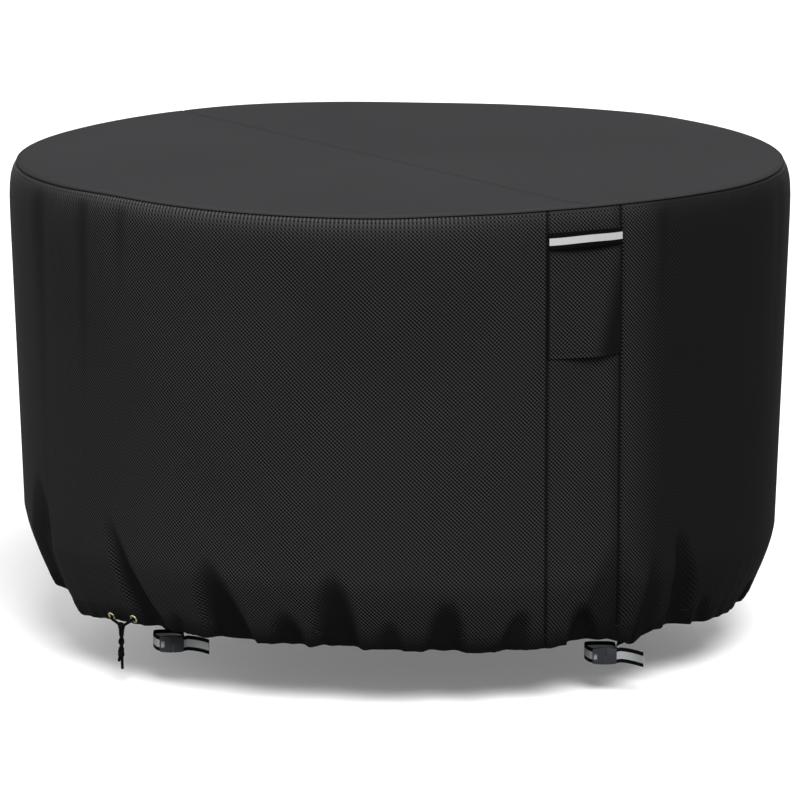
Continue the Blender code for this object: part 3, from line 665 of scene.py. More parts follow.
# The tie: both ends of the drawcord leave the hem through eyelets and are knotted together twice.
tie = {
    "azimuth": -48.65, "radius": 0.5935,               # where it hangs
    # azimuth and drop of the eyelet, the cord's side of the knots, drop of its end, how far that leans along
    "ends": {"left": (-52.8, 0.6955, -1, 0.7618, -0.0035), "right": (-46.9, 0.6895, 1, 0.7733, 0.0004)},
    # drop of the knot's middle, how far it is along and out from there, half its size each way
    "knots": {"upper": (0.7026, 0.0, 0.0, (0.0064, 0.0048, 0.0052)),
              "lower": (0.7487, -0.0028, -0.001, (0.006, 0.0048, 0.005))},
    "cordRadius": 0.0023, "apart": 0.0024, "bend": 0.0108, "windFrom": 0.34, "windTo": 0.96,
    "braid": 0.05, "braidTurns": 330.0, "coilTurns": 2.15, "coilStart": 2.2, "coilSides": 20,
    "ringHole": 0.0039, "ringOuter": 0.0074, "ringHeight": 0.0015, "ringLift": 0.0004, "ringSides": 72,
}


def makeTie():
    t = tie
    out, side = outAndAlong(t["azimuth"])
    upper, lower = (out * (t["radius"] + outward) + side * along - up * drop
                    for drop, along, outward, size in t["knots"].values())
    cords, knots = [], []
    for name, (azimuth, drop, sign, ending, lean) in t["ends"].items():
        foot, normal = onCloth(azimuth, -drop), clothNormal(azimuth, -drop)
        step = side * sign * t["apart"]
        mouth = foot + normal * 0.0002
        knotMouth = upper + step * 1.6 + up * 0.0010
        bent = mouth + normal * 0.0038 + unit(knotMouth - foot) * 0.0056
        share = np.linspace(0, 1, 23)[:, None]              # once round each other on the way to the lower knot
        wind = t["windFrom"] + (t["windTo"] - t["windFrom"]) * share
        twist = sign * (side * np.cos(2 * np.pi * share) + out * np.sin(2 * np.pi * share)) * t["apart"]
        end = lower - up * (ending - t["knots"]["lower"][0]) + step + side * lean
        path = roundedRoute([mouth, bent, knotMouth, *(upper * (1 - wind) + lower * wind + twist),
                             lower + step * 0.9 - up * 0.0016, end], t["bend"], 0.0011)
        piece = makePiece("drawcord" + name.capitalize(), [tube(path, t["cordRadius"], side, 24, rounded=False)],
                          cord, [f"cord_{name}_{part}" for part in ("upper", "middle", "end")], weld=1e-6)
        cords.append((piece, path))
    for middle, (name, (drop, along, outward, size)) in zip((upper, lower), t["knots"].items()):
        # an overhand knot pulled tight: the cord wound round the two strands, its ends tucked under, and a core
        turns = np.linspace(0, 2 * math.pi * t["coilTurns"], 90)
        r = t["cordRadius"] * 0.92
        half = np.array(size) - (r, r, r)
        place = np.stack((half[0] * np.cos(turns + t["coilStart"]), half[1] * np.sin(turns + t["coilStart"]),
                          0.0011 * np.sin(turns + 0.4) - half[2] * (turns / turns[-1] - 0.5) * 2), axis=-1)
        axes = np.stack((side, out, up))
        coil = middle + place @ axes
        inside = middle + side * (half[0] * 0.2) + out * (half[1] * 0.1)
        coil = np.vstack((coil[:1] * 0.5 + inside * 0.5, coil, coil[-1:] * 0.5 + inside * 0.5))
        u = np.linspace(0, 2 * math.pi, t["coilSides"], endpoint=False)[None, :]
        w = np.linspace(0, math.pi, 11)[:, None]
        core = np.stack(np.broadcast_arrays(np.sin(w) * np.cos(u) * half[0], np.sin(w) * np.sin(u) * half[1],
                                            np.cos(w) * size[2] * 0.9), axis=-1)
        parts = [tube(coil, r, (0.02, 0.01, 1.0), t["coilSides"]), ringPart(middle + core @ axes)]
        knots.append(makePiece("knot" + name.capitalize() + "Turns", parts, cord, "knot_" + name,
                               angle=80, weld=1e-6))


def makeEyelets():
    # a rolled ring: its section, a low arch between the hole and the outer edge, turned about the cloth's normal
    t = tie
    hole, outer = t["ringHole"], t["ringOuter"]
    turn = np.linspace(0, 2 * math.pi, t["ringSides"], endpoint=False)
    arch = np.radians(np.linspace(0, 180, 15))
    r = np.concatenate(((hole + outer) / 2 + (outer - hole) / 2 * np.cos(arch),
                        (hole - 0.0001, hole + 0.0002, outer * 0.9)))
    z = np.concatenate((t["ringHeight"] * np.sin(arch) ** 0.8, (-0.0009, -0.0014, -0.0014))) + t["ringLift"]
    for name, (azimuth, drop, *_) in t["ends"].items():
        centre, normal = onCloth(azimuth, -drop), clothNormal(azimuth, -drop)
        side = unit(np.cross(up, normal))
        above = np.cross(normal, side)

        def turned(r, z):
            r = r[:, None]
            return (centre + side * (r * np.cos(turn))[..., None] + above * (r * np.sin(turn))[..., None]
                    + normal * z[:, None, None])

        piece = "eyelet" + name.capitalize()
        makePiece(piece + "Ring", [ringPart(turned(np.append(r, r[0]), np.append(z, z[0])))], brass,
                  "eyelet_" + name, angle=60, weld=1e-6)
        # the dark mouth of the hem's channel inside the ring: a dark disc of the cord's material standing for the shade
        # in the hollow, painted shade
        makePiece(piece + "Mouth", [ringPart(turned(np.array((0.0, 0.0016, hole + 0.0002)), np.full(3, 0.0003)))],
                  cord, weld=1e-6)


makeTie()
makeEyelets()
print("tie and eyelets made")

# The wall and the vent strip. Rows run from under the rim's lip down to the hem's edge, round it
# and up again inside, as the cloth is turned up there round the drawcord.
wall = {
    "rimRows": (-0.0022, -0.0008, 0.0004, 0.0014, 0.0024, 0.0034, 0.0044,
                0.0054, 0.0066, 0.008, 0.0105, 0.015, 0.022, 0.034),
    "middleRows": 21,
    "lowerFrom": 0.285, "lowerRows": 40,
    "hemRows": (0.0275, 0.0258, 0.0248, 0.024, 0.0232, 0.0222, 0.02, 0.0165, 0.0125, 0.0085, 0.005),
    "insideRows": (0.005, 0.01, 0.016, 0.021, 0.0245, 0.027),
    "channel": 0.024, "channelFill": 0.0005, "groove": 0.0003, "hemTurn": 0.0022,
    "ditch": 0.0038, "ditchWide": 0.0046,
    "seamColumns": (0.0, 0.0007, 0.0014, 0.0022, 0.0032, 0.0046, 0.0065, 0.009),
    "frontStep": 0.0064, "backStep": 0.0115,
    "seamDepth": 0.003, "seamWide": 0.0024, "seamRidge": 0.0009,
    "stripPast": (-0.006, -0.003, -0.0008), "stripSpare": 0.0075, "stripColumns": 22,
}


def clothRows():
    # each row is a share of the rim's height, a share of the hem's, an offset and an inset, and how far
    # along the sheet it is past the hem's edge
    w = wall

    def block(*shares):
        return np.stack(np.broadcast_arrays(*shares), axis=1)

    rim = np.array(w["rimRows"])
    ditch = w["ditch"] * (1 - smoothStep((rim + 0.0006) / w["ditchWide"])) + 0.0005 * bump((rim - 0.0066) / 0.0014)
    s = np.linspace(0, 1, w["middleRows"] + 2)[1:-1]
    h = np.concatenate((np.linspace(w["lowerFrom"], 0.030, w["lowerRows"]), w["hemRows"]))
    fill = w["channelFill"] * np.sin(np.pi * np.clip(h / w["channel"], 0, 1)) ** 0.7
    groove = w["groove"] * bump((h - w["channel"]) / 0.0020)
    r = w["hemTurn"]
    a = np.radians((0, 25, 50, 75, 90, 105, 130, 155, 180))
    i = np.array(w["insideRows"])
    apart = 2 * r * (1 - 0.35 * smoothStep(i / w["channel"]))
    return np.concatenate((
        block(1.0, 0.0, -rim, ditch, 0.0),
        block(1 - s, s, -rim[-1] * (1 - s) + w["lowerFrom"] * s, 0.0, 0.0),
        block(0.0, 1.0, h, groove - fill, 0.0),
        block(0.0, 1.0, r * (1 - np.sin(a)), r * (1 - np.cos(a)), r * a),
        block(0.0, 1.0, i, apart, r * np.pi + i)))


def clothSheet(xLeft, xRight, shares, fromEdge, ridge, slip):
    # rows by columns of points between two upright seams, whose planes stand at xLeft and xRight
    top, bottom, offset, inset, past = clothRows().T[..., None]

    def heights(azimuth):
        return top * wallTop(azimuth) + bottom * hemHeight(azimuth) + offset

    def edge(x, turns):
        azimuth = np.full(top.shape, math.degrees(math.asin(x / hang["rimRadius"])))
        for _ in range(6):
            azimuth = seamAzimuth(x, heights(azimuth))
        return azimuth + turns

    left = edge(xLeft, 0)
    right = edge(xRight, 0 if xRight > xLeft else 360)
    azimuth = left + (right - left) * shares[None, :]
    z = heights(azimuth)
    d = fromEdge[None, :]
    sunk = wall["seamDepth"] * dip(np.maximum(d, 0) / wall["seamWide"]) - ridge * bump((d - 0.0036) / 0.0030)
    inward = inset + sunk * (past == 0) + 0.0019 * smoothStep(-d / 0.0026)
    u = np.radians(azimuth) * hang["flatRadius"] + slip
    v = np.where(past > 0, -hemHeight(azimuth) + past, -z)
    return onCloth(azimuth, z, -inward), np.stack((u, v), axis=-1), azimuth


# How far each cause presses the nap down and lays painted shade, and over which reach
pressAndShade = {
    "side": 0.72, "sideFrom": 33.0, "sideOver": 9.0, "sideTo": 140.0, "sideFade": 30.0,
    "fold": 0.94, "crease": 0.5, "creaseDeep": 0.003, "seam": 0.95, "seamReach": 0.0024,
    "rim": 0.9, "rimReach": 0.002, "hem": 0.92, "hemReach": 0.04,
}


def leftOf(*shares):
    # what is left when each share is taken away from it in turn
    left = 1.0
    for share in shares:
        left = left * (1 - share)
    return left


def napAndShadeOf(azimuth, z, fromEdge):
    # the nap stands up all round but right of the strip, where it lies flat as far as the side. It is also pressed down
    # in the folds, in the hollows of the creases, along the seams, under the rim and by the hem. Where it lies flat the
    # weave's relief goes and the
    # colour turns to the shade colour: painted shade on the side turned from the light, in the fold and crease hollows,
    # in the seams, in the rim's ditch and at the foot of the wall.
    p = pressAndShade
    turn = turnFrom(azimuth, 0)
    above, below = z - hemHeight(azimuth), wallTop(azimuth) - z
    side = smoothStep((turn - p["sideFrom"]) / p["sideOver"]) * smoothStep((p["sideTo"] - turn) / p["sideFade"])
    return leftOf(p["side"] * side, p["fold"] * foldShade(azimuth, above),
                  p["crease"] * smoothStep(-creaseRise(azimuth, below) / p["creaseDeep"]),
                  p["seam"] * dip(fromEdge / p["seamReach"]),
                  p["rim"] * (1 - smoothStep((below - 0.0008) / p["rimReach"])),
                  p["hem"] * (1 - smoothStep((above - 0.002) / p["hemReach"])))


# azimuth, pull of the rim's seam, which also sets how strongly its painted highlight shows
tugAndGlintLine = (
    (-80, 0.25), (-60, 0.55), (-48, 1.0), (-30, 0.95), (-10, 0.9), (4, 0.8), (12, 0.4), (30, 0.2), (50, 0.45),
    (80, 0.35), (120, 0.7), (150, 0.35), (185, 0.6), (220, 0.4), (250, 0.65),
)


def tugAndGlintOf(azimuth, z):
    # how hard the rim's seam pulls the weave into upright strokes, dying away downwards; the strokes are paler, partly
    # strained weave and partly painted highlight where the puckers catch the light
    return around(tugAndGlintLine, azimuth) * np.exp(-np.maximum(wallTop(azimuth) - 0.003 - z, 0) / 0.010)


def makeCloth(name, node, points, flat, napAndShade, tugAndGlint, thickness, angle):
    obj = makePiece(name, [sheetPart(points, flat)], cloth, node, angle=angle)
    for key, values in (("napAndShade", napAndShade), ("tugAndGlint", tugAndGlint)):
        layer = obj.data.attributes.new(key, "FLOAT", "POINT")
        layer.data.foreach_set("value", values.astype(np.float32).ravel())
    thicken(obj, thickness)
    return obj


def makeWall():
    w, h = wall, hang
    near = np.array(w["seamColumns"])
    scale = math.degrees(1 / h["flatRadius"])
    start = math.degrees(math.asin(h["stripRight"] / h["flatRadius"]))
    stop = math.degrees(math.asin(h["stripLeft"] / h["flatRadius"])) + 360
    runs = ((start + near[-1] * scale, 100.0, w["frontStep"]), (100.0, 260.0, w["backStep"]),
            (260.0, stop - near[-1] * scale, w["frontStep"]))
    turns = np.concatenate((start + near[:-1] * scale,
                            *(np.linspace(a, b, int((b - a) / scale / step) + 1)[:-1] for a, b, step in runs),
                            stop - near[::-1] * scale))
    fromEdge = np.minimum(turns - start, stop - turns) / scale
    points, flat, azimuth = clothSheet(h["stripRight"] + h["gap"] / 2, h["stripLeft"] - h["gap"] / 2,
                                       (turns - start) / (stop - start), fromEdge, w["seamRidge"], 0.0)
    z = points[..., 2]
    obj = makeCloth("wallCloth", "wall_panel", points, flat, napAndShadeOf(azimuth, z, fromEdge), tugAndGlintOf(azimuth, z),
                    h["thick"], 75)
    print("wall:", points.shape[0], "rows by", points.shape[1], "columns")

    near = np.concatenate((w["stripPast"], near))
    width = h["stripRight"] - h["stripLeft"] + w["stripSpare"]
    inner = np.linspace(near[-1], width - near[-1], w["stripColumns"])[1:-1]
    at = np.concatenate((near, inner, width - near[::-1])) / width
    aside = np.minimum(at, 1 - at) * width
    points, flat, azimuth = clothSheet(h["stripLeft"] + h["gap"] / 2, h["stripRight"] - h["gap"] / 2, at, aside,
                                       0.0, 0.0017)
    z = points[..., 2]
    # painted shade on the strip towards its right seam: the nap attribute falls there
    seamShadeOnStrip = 1 - 0.50 * smoothStep(1 - (1 - at) * width / 0.024)      # towards the right seam
    obj = makeCloth("stripCloth", "vent_strip", points, flat, napAndShadeOf(azimuth, z, np.maximum(aside, 0)) * seamShadeOnStrip,
                    tugAndGlintOf(azimuth, z), h["thick"], 75)


makeWall()
print("wall and vent strip made")

seamOut = np.array((math.cos(math.radians(hang["seamAngle"])), math.sin(math.radians(hang["seamAngle"]))))
seamAlong = np.array((-seamOut[1], seamOut[0]))
top = {
    "arcRows": 84, "columns": 110, "crowd": 0.97,
    "nearRows": (0.0, 0.0008, 0.0016, 0.0026, 0.0038, 0.0052, 0.0075, 0.012, 0.02),
    "ditch": 0.0009, "ditchWide": 0.0022, "edgeGroove": 0.0006, "edgeInside": 0.0052,
    # share of the rounding, drop
    "lip": ((0.9, 0.0002), (0.6, 0.0005), (0.25, 0.00135), (0.06, 0.0024), (0.0, 0.0039)),
    "tucked": (0.0, 0.0003, 0.0009, 0.003, 0.007),
}


def seamDitch(fromSeam):
    return top["ditch"] * dip(fromSeam / top["ditchWide"])


def topHeight(x, y, fromSeam):
    # flat, with the rim's dips running in by a smooth step, and a ditch along the seam
    radius = np.hypot(x, y)
    azimuth = np.degrees(np.arctan2(x, -y))
    lift = rimHeight(azimuth) * smoothStep((radius - hang["rimRadius"] + hang["waveReach"]) / hang["waveReach"])
    sewn = top["edgeGroove"] * bump((hang["rimRadius"] - top["edgeInside"] - radius) / 0.0016)
    soft = 0.0005 * np.sin(9.0 * x + 1.0) * np.cos(11.0 * y + 0.6)
    return hang["topFace"] + lift - seamDitch(fromSeam) - sewn + soft * smoothStep((0.60 - radius) / 0.1)


def topPoints(outward, along, fromSeam, lowered=0.0):
    # points of the top by how far out from the seam's direction and along it they are
    xy = seamOut * outward[..., None] + seamAlong * along[..., None]
    z = topHeight(xy[..., 0], xy[..., 1], fromSeam) - lowered
    return np.concatenate((xy, z[..., None]), axis=-1)


def faceUp(form):
    highest = max(form.faces, key=lambda f: f.calc_center_median().z - 0.01 * abs(f.calc_center_median().x))
    if highest.normal.z < 0:
        bmesh.ops.reverse_faces(form, faces=form.faces)


def makeTop():
    # Each panel is ruled by lines parallel to the seam, from one side of the rim to the other. The lines
    # are spaced by equal turns of the rim. A lip with a rounded edge joins on round the arc.
    t, h = top, hang
    flatRadius = h["rimRadius"] - h["lipRound"] * t["lip"][0][0]
    for name, side, node in (("topClothBack", 1, "top_panel_back"), ("topClothFront", -1, "top_panel_front")):
        start = side * -h["seamOffset"] + h["gap"] / 2          # along side * seamOut
        arc = flatRadius * np.sin(np.linspace(math.asin(start / flatRadius), math.pi / 2, t["arcRows"]))
        near = start + np.array(t["nearRows"])
        reach = np.concatenate((near, arc[arc > near[-1] + 0.004]))[:, None]
        half = np.sqrt(np.maximum(flatRadius**2 - reach**2, 0))
        widest = math.pi / 2 * t["crowd"]
        share = (np.sin(np.linspace(-1, 1, t["columns"]) * widest) / math.sin(widest))[None, :]
        panel = topPoints(side * reach + 0 * share, half * share, reach - start)
        rim = np.concatenate((panel[:, -1], panel[-2::-1, 0]))
        azimuth = np.degrees(np.arctan2(rim[:, 0], -rim[:, 1]))
        ditch = seamDitch(np.concatenate((reach, reach[-2::-1]))[:, 0] - start)
        height = rimHeight(azimuth) + h["topFace"] - ditch
        lip = [polar(h["rimRadius"] - h["lipRound"] * inside, azimuth, height - drop) for inside, drop in t["lip"][1:]]
        parts = [panel, np.stack([rim, *lip, polar(h["rimRadius"], azimuth, wallTop(azimuth))])]
        if side < 0:                                              # the seam's allowance, tucked under the back panel
            past = np.array(t["tucked"])[:, None]
            parts.append(topPoints(side * (start - past) + 0 * share, (half[0] - 0.6 * past) * share, past,
                                   0.0019 * smoothStep(past / 0.0009))[::-1])
        parts = [sheetPart(p, p[..., :2]) for p in parts]
        obj = makePiece(name, parts, topCloth, node, angle=60, weld=2e-6)
        rework(obj.data, turnOutwards, faceUp)
        thicken(obj, h["thick"])
        r = h["flatRadius"]
        halfLong = math.sqrt(r**2 - start**2)
        1.27 if start < 0 else 2 * halfLong
        r - start
        r**2 * math.acos(start / r) - start * halfLong


makeTop()
print("top made")

flap = {
    "topDrop": 0.032, "bottomDrop": 0.2328, "thick": 0.0013, "clear": 0.0008, "inset": 0.001,
    "lift": 0.009, "liftAt": 0.6, "liftFrom": 0.35, "upperSeam": 0.035, "lowerSeam": 0.2255,
    "topRows": (0, 0.0006, 0.0014, 0.0022, 0.003, 0.0038, 0.0048),
    "bottomRows": (0.2225, 0.224, 0.2255, 0.227, 0.229, 0.231),
    "turnedRows": (0.0, 0.0002, -0.001, -0.004, -0.0075), "turnedIn": (0.0, 0.0008, 0.0017, 0.0018, 0.0018),
    "columns": 36, "rows": 46,
}
handle = {
    "topDrop": 0.0342, "tilt": 0.002, "width": 0.0256, "thick": 0.0014, "clear": 0.0007, "bow": 0.0078, "inset": 0.001,
    "columns": 60, "stripe": 0.44, "pale": (0.46, 0.46, 0.45), "dim": (0.36, 0.36, 0.355), "rise": 0.002,
}


def acrossStrip(share, z, inset):
    left = seamAzimuth(hang["stripLeft"] + inset, z)
    right = seamAzimuth(hang["stripRight"] - inset, z)
    return left + (right - left) * share


def flapOut(share, drop):
    # the flap hugs the strip at its top and sides, and its free lower edge stands off most right of the middle
    f = flap
    down = np.clip((drop - f["topDrop"]) / (f["bottomDrop"] - f["topDrop"]), 0, 1)
    bulge = np.sin(np.pi * share ** (math.log(0.5) / math.log(f["liftAt"]))) ** 1.5
    lift = f["lift"] * bulge * np.maximum(down - f["liftFrom"], 0) / (1 - f["liftFrom"])
    sewn = 0.0009 * dip((drop - f["upperSeam"]) / 0.0011) + 0.0006 * dip((drop - f["lowerSeam"]) / 0.0010)
    return f["clear"] + f["thick"] + lift - sewn


def makeFlap():
    # painted shade from the middle of its right edge to its lower edge, along its edges and seam, and a painted shadow
    # under the handle; the nap lies flat there too
    f = flap
    share = np.linspace(0, 1, f["columns"])[None, :]
    drop = np.concatenate((f["topDrop"] + np.array(f["topRows"]), np.linspace(0.042, 0.218, f["rows"]), f["bottomRows"],
                           f["bottomDrop"] + np.array(f["turnedRows"])))[:, None]
    fold = np.concatenate((np.zeros(len(drop) - len(f["turnedIn"])), f["turnedIn"]))[:, None]
    azimuth = acrossStrip(share, -drop + 0 * share, f["inset"])
    points = onCloth(azimuth, -drop, flapOut(share, drop) - fold)
    flat = np.stack(np.broadcast_arrays(np.radians(azimuth) * hang["flatRadius"] + 0.0031, drop + 2 * fold), axis=-1)
    down = (drop - f["topDrop"]) / (f["bottomDrop"] - f["topDrop"])
    edge = np.minimum(share, 0.55 * (1 - share)) * 0.124
    # painted shadow of the handle on the flap
    handleShadow = 0.85 * bump((drop + handle["tilt"] * share - 0.0610) / 0.0105)
    napAndShade = leftOf(smoothStep((share + 0.44 * down - 0.95) / 0.29), 0.9 * dip(edge / 0.0018),
                 0.9 * dip((drop - f["upperSeam"]) / 0.0013), handleShadow)
    obj = makeCloth("flapCloth", "vent_flap", points, flat, napAndShade, 0 * napAndShade, f["thick"] * 0.55, 70)


def webbing(centres, across, width, thick):
    # a flat oval with slightly thicker edges, as woven selvedges have, carried along the path and
    # closed at both ends where it collapses to a line
    turn = np.linspace(0, 2 * math.pi, 28, endpoint=False)
    a = np.sign(np.cos(turn)) * np.abs(np.cos(turn)) ** 0.45 * width / 2
    o = np.sign(np.sin(turn)) * np.abs(np.sin(turn)) ** 0.55 * (thick / 2)
    o = o * (1 + 0.0002 / thick * dip((np.abs(a) - width * 0.44) / (width * 0.05)))
    across = unit(across)
    normal = unit(np.cross(unit(np.gradient(centres, axis=0)), across))
    body = centres[:, None] + across[:, None] * a[None, :, None] + normal[:, None] * o[None, :, None]
    first, last = (centres[k] + across[k] * a[:, None] + normal[k] * (o * 0.02)[:, None] for k in (0, -1))
    points = np.concatenate((first[None], body, last[None]))
    along = distances(centres)
    along = np.concatenate((along[:1], along, along[-1:]))[:, None]
    flat = np.stack(np.broadcast_arrays(along, np.append(a, a[0])[None, :]), axis=-1)
    return points, gridFaces(len(points), len(a), True), gridCorners(flat)


def makeWebbing(name, node, look, centres, across, width, thick):
    obj = makePiece(name, [webbing(centres, across, width, thick)], look, node, angle=60)
    rework(obj.data, mergeDoubles, turnOutwards)


def makeHandle():
    h = handle
    share = np.linspace(0, 1, h["columns"])
    azimuth = acrossStrip(share, np.full(len(share), -h["topDrop"] - h["width"] / 2), h["inset"])
    out = flap["clear"] + flap["thick"] + h["clear"] + h["thick"] / 2 + h["bow"] * np.sin(np.pi * share) ** 1.2
    rise = h["rise"] * np.sin(np.pi * share) ** 2 + h["tilt"] * share
    upper = onCloth(azimuth, rise - h["topDrop"], out)
    lower = onCloth(azimuth, rise - h["topDrop"] - h["width"], out)
    look = wovenTape("handleTape", h["stripe"], h["pale"], h["dim"], h["width"])
    makeWebbing("handleWebbing", "handle", look, (upper + lower) / 2, lower - upper, h["width"], h["thick"])


makeFlap()
makeHandle()
print("flap and handle made")

# Straps: plan in millimetres to the right of the strap's middle and out of its inner front plane
strapPlan = (
    (-4.4, 3.9), (-8.5, 3.6), (-13.0, 1.4), (-17.0, -3.5), (-20.0, -10.5), (-22.8, -20.0),
    (-24.8, -31.0), (-24.0, -41.0), (-17.0, -46.4), (-2.0, -47.4), (13.0, -46.6),
    (21.6, -41.6), (23.4, -32.0), (23.8, -18.0), (23.6, -11.0), (22.4, -4.2), (19.0, -0.1),
    (15.0, 0.8), (13.0, 1.5), (12.2, 3.3), (13.0, 5.1), (15.0, 5.8), (21.5, 5.8), (28.0, 6.1),
    (39.0, 8.4), (50.0, 14.2), (59.0, 22.6), (66.0, 32.0),
)
straps = {
    "left": {"x": -0.3705, "y": -0.4034, "top": -0.7179, "face": -1, "droop": 0.0008},
    "right": {"x": 0.3199, "y": -0.4465, "top": -0.7274, "face": 1, "droop": 0.0022},
    "width": 0.0246, "thick": 0.0014, "stripe": 0.5, "pale": (0.36, 0.37, 0.38), "dim": (0.22, 0.23, 0.24),
    "middle": 0.0108, "tailLift": 0.0024,     # from the top line to the buckle's middle, and how far the tail springs up
    "tapeWidth": 0.016, "tapeThick": 0.0012, "tapeClear": 0.0035, "tapeHeights": (0.026, 0.018, 0.01),
    "tapeDepth": 0.021, "tapeOff": 0.00155, "side": 0.0238, "tapeColour": (0.02, 0.02, 0.02),
}


def makeStraps():
    # the tail droops by one smooth step and springs up past the buckle by another
    t = straps
    look = wovenTape("strapTape", t["stripe"], t["pale"], t["dim"], t["width"])
    plain = wovenTape("hangerTape", -1.0, t["tapeColour"], t["tapeColour"], t["tapeWidth"])
    plan = through(np.array(strapPlan) / 1000, 5)
    free = np.arange(len(plan)) > len(plan) * 0.7
    tail, spring = (smoothStep(np.clip((plan[:, 0] - start) / over, 0, 1) * free)
                    for start, over in ((0.022, 0.044), (0.020, 0.013)))
    for name in ("left", "right"):
        s = t[name]
        middle = s["top"] - t["middle"] - s["droop"] * tail + t["tailLift"] * spring
        centres = np.stack((s["x"] + plan[:, 0], s["y"] - plan[:, 1], middle), axis=-1)
        makeWebbing("strap" + name.capitalize() + "Webbing", "strap_" + name, look, centres,
                    np.tile(up, (len(plan), 1)), t["width"], t["thick"])
        makeTape(name, plain)


def makeTape(name, look):
    # a short tape from the hem's inside down to the strap's side, turning to face it on the way
    t, s = straps, straps[name]
    beside = t["side"] + s["face"] * (t["tapeOff"] + t["tapeThick"] / 2)
    at = np.array((s["x"] + beside, s["y"] + t["tapeDepth"], 0.0))
    azimuth = math.degrees(math.atan2(at[0], -at[1]))
    tangent = outAndAlong(azimuth)[1]
    hem = float(hemHeight(azimuth))
    near = azimuth + np.linspace(-1.25, 1.25, 9)
    points, widths = [], []
    for height in t["tapeHeights"]:
        z = hem + height
        sunk = float(clothRadius(azimuth, z) - clothRadius(near, z).min())
        inward = 0.0045 + t["tapeClear"] + t["tapeThick"] / 2 + sunk
        points.append(onCloth(azimuth, z) - clothNormal(azimuth, z) * inward)
        widths.append(tangent)
    last = points[-1]
    for z, share in ((hem + 0.002, 0.06), ((hem + s["top"]) / 2, 0.5), (s["top"] + 0.002, 0.94),
                     (s["top"] - 0.008, 1.0), (s["top"] - 0.018, 1.0)):
        points.append(np.append((last * (1 - share) + at * share)[:2], z))
        widths.append(unit(tangent * (1 - share) + np.array((0.0, 1.0, 0.0)) * share))
    makeWebbing("hanger" + name.capitalize() + "Tape", "strap_tape_" + name, look, through(points, 4),
                through(widths, 4), t["tapeWidth"], t["tapeThick"])


buckles = {"shift": 0.0057, "half": 0.0192, "tall": 0.012, "cuts": 14, "bow": 0.0013, "pinch": 0.0004, "bevel": 0.0005}


def bowLongEdges(form, middle, height):
    # cuts across, then the top and bottom edges bow out in the middle and pinch in at both ends:
    # z leaves the middle height by its own share of bow (1 - s^2) - pinch s^6
    b = buckles
    for x in np.linspace(-b["half"], b["half"], b["cuts"]):
        bmesh.ops.bisect_plane(form, geom=form.verts[:] + form.edges[:] + form.faces[:], plane_co=(middle + x, 0, 0),
                               plane_no=(1, 0, 0), dist=1e-5)
    for vert in form.verts:
        s = (vert.co.x - middle) / b["half"]
        vert.co.z += (vert.co.z - height) / b["tall"] * (b["bow"] * (1 - s * s) - b["pinch"] * s**6)


def makeBuckle(half, side):
    # a moulded half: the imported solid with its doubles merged, its long edges bowed and its edges softened
    node = f"buckle_{half}_{side}"
    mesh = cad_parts[node].data.copy()
    mesh.name = "buckle" + half.capitalize() + side.capitalize()
    s = straps[side]
    rework(mesh, mergeDoubles, lambda form: bmesh.ops.dissolve_limit(
        form, angle_limit=math.radians(2), verts=form.verts, edges=form.edges),
        lambda form: bowLongEdges(form, s["x"] + buckles["shift"], s["top"] - straps["middle"]))
    mesh.materials.clear()
    mesh.materials.append(plastic)
    obj = addObject(mesh.name, mesh)
    bevel = obj.modifiers.new("edges", "BEVEL")
    bevel.width = buckles["bevel"]
    bevel.segments = 2
    bevel.limit_method = "ANGLE"
    mesh.shade_smooth()
    mesh.set_sharp_from_angle(angle=math.radians(35))
    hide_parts(node)
    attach(obj, "root")


makeStraps()
for half in ("socket", "clip"):
    for side in ("left", "right"):
        makeBuckle(half, side)
print("straps and buckles made")

sewing = {
    "pitch": 0.0036, "half": 0.00135, "radius": 0.00032,
    "rimBelow": 0.0066, "rimSunk": 0.0005, "hemSunk": 0.0001, "seamAside": 0.004, "topAside": 0.0042, "topReach": 0.622,
}


def makeStitches():
    # rows of thread: round the rim, round the hem, beside the strip's seams, on the flap and beside the top's seam
    s = sewing
    rows = {name: [] for name in ("rimStitches", "hemStitches", "seamStitches", "flapStitches", "topStitches")}

    def sew(name, path):
        points, along = spacedAlong(path, s["pitch"])
        if name == "topStitches":
            normals = np.tile(up, (len(points), 1))
        else:
            normals = clothNormal(np.degrees(np.arctan2(points[:, 0], -points[:, 1])), points[:, 2])
        rows[name].append(stitchRow(points, normals, along, s["half"], s["radius"]))

    turns = np.linspace(-180, 180, 1400)
    sew("rimStitches", onCloth(turns, wallTop(turns) - s["rimBelow"], -s["rimSunk"]))
    ring = polar(hang["rimRadius"] - top["edgeInside"], turns, 0 * turns)
    ring[:, 2] = topHeight(ring[:, 0], ring[:, 1], 1.0)
    sew("topStitches", ring)
    sew("hemStitches", onCloth(turns, hemHeight(turns) + wall["channel"], -s["hemSunk"]))
    for x in (hang["stripLeft"] - s["seamAside"], hang["stripRight"] + s["seamAside"]):
        low = float(hemHeight(math.degrees(math.asin(x / 0.6)))) + 0.004
        z = np.linspace(-0.014, low, 300)
        sew("seamStitches", onCloth(seamAzimuth(x, z), z, wall["seamRidge"] * 0.8))
    share = np.linspace(0.02, 0.98, 60)
    for drop in (flap["upperSeam"], flap["lowerSeam"]):
        drop = np.full(len(share), drop)
        sew("flapStitches", onCloth(acrossStrip(share, -drop, flap["inset"]), -drop, flapOut(share, drop)))
    along = np.linspace(-s["topReach"], s["topReach"], 400)
    for aside in (s["topAside"], -s["topAside"]):
        sew("topStitches", topPoints(np.full(len(along), aside - hang["seamOffset"]), along, abs(aside)))
    for name, parts in rows.items():
        makePiece(name, parts, thread, angle=80)
        print(name, sum(len(p[1]) for p in parts), "faces")


makeStitches()

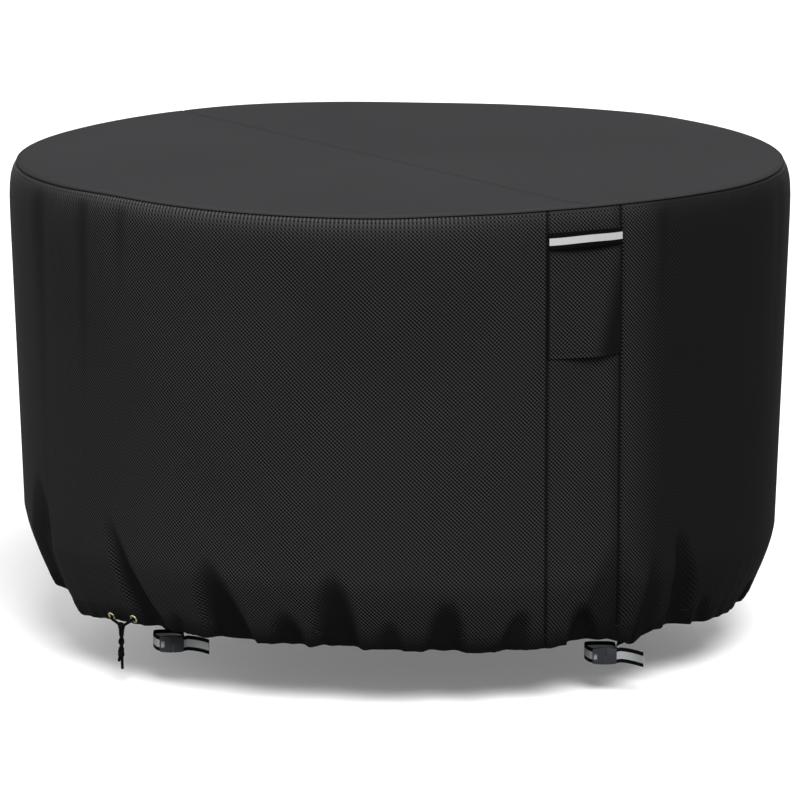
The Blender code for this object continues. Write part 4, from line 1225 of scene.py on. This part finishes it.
studio = {
    "floor": -0.8, "floorSize": 60.0,
    "white": (0.98, 0.98, 0.975), "seenSky": 1.0, "litSky": 0.3,
    "floorColour": (0.8, 0.8, 0.8), "floorReturn": (0.22, 0.22, 0.22), "floorGlow": 0.16,
    # name, azimuth it comes from, elevation, softness, strength
    "suns": (
        ("frontTop", 12.0, 47.0, 32.0, 4.4),
        ("leftFill", -78.0, 18.0, 40.0, 1.1),
        ("backRight", 171.0, 15.0, 40.0, 1.3),
        ("backLeft", -166.0, 15.0, 40.0, 1.3),
    ),
}


def makeStudio():
    s = studio
    size = s["floorSize"] / 2
    corners = ((-size, size), (size, size), (-size, -size), (size, -size))
    floor = addObject("floor", bpy.data.meshes.new("floor"))
    floor.data.from_pydata([(x, y, s["floor"]) for x, y in corners], [], [(0, 2, 3, 1)])
    paint = Shader("paleFloor", 0.9, specular=0.1)
    paint.colour(paint.mix(paint.value("Is Camera Ray", "ShaderNodeLightPath"), s["floorReturn"], s["floorColour"]))
    paint.put(paint.base.inputs["Emission Color"], (1.0, 1.0, 1.0))
    paint.put(paint.base.inputs["Emission Strength"], s["floorGlow"])
    floor.data.materials.append(paint.mat)
    world = bpy.data.worlds.new("studio")
    bpy.context.scene.world = world
    world.use_nodes = True
    nodes, links = world.node_tree.nodes, world.node_tree.links
    mix = nodes.new("ShaderNodeMixShader")
    links.new(nodes.new("ShaderNodeLightPath").outputs["Is Camera Ray"], mix.inputs[0])
    skies = (nodes["Background"], s["litSky"]), (nodes.new("ShaderNodeBackground"), s["seenSky"])
    for (sky, strength), socket in zip(skies, mix.inputs[1:]):
        sky.inputs["Color"].default_value = (*s["white"], 1.0)
        sky.inputs["Strength"].default_value = strength
        links.new(sky.outputs[0], socket)
    links.new(mix.outputs[0], nodes["World Output"].inputs["Surface"])
    for name, azimuth, elevation, softness, strength in s["suns"]:
        sun = addObject(name, bpy.data.lights.new(name, "SUN"))
        sun.data.angle = math.radians(softness)
        sun.data.energy = strength
        rise = math.radians(elevation)
        sun.location = Vector((outAndAlong(azimuth)[0] * math.cos(rise) + up * math.sin(rise)) * 4)
        sun.rotation_euler = (-sun.location).to_track_quat("-Z", "Y").to_euler()
    bpy.context.scene.view_settings.view_transform = "Standard"
    bpy.context.scene.view_settings.look = "None"


makeStudio()
print("studio made")
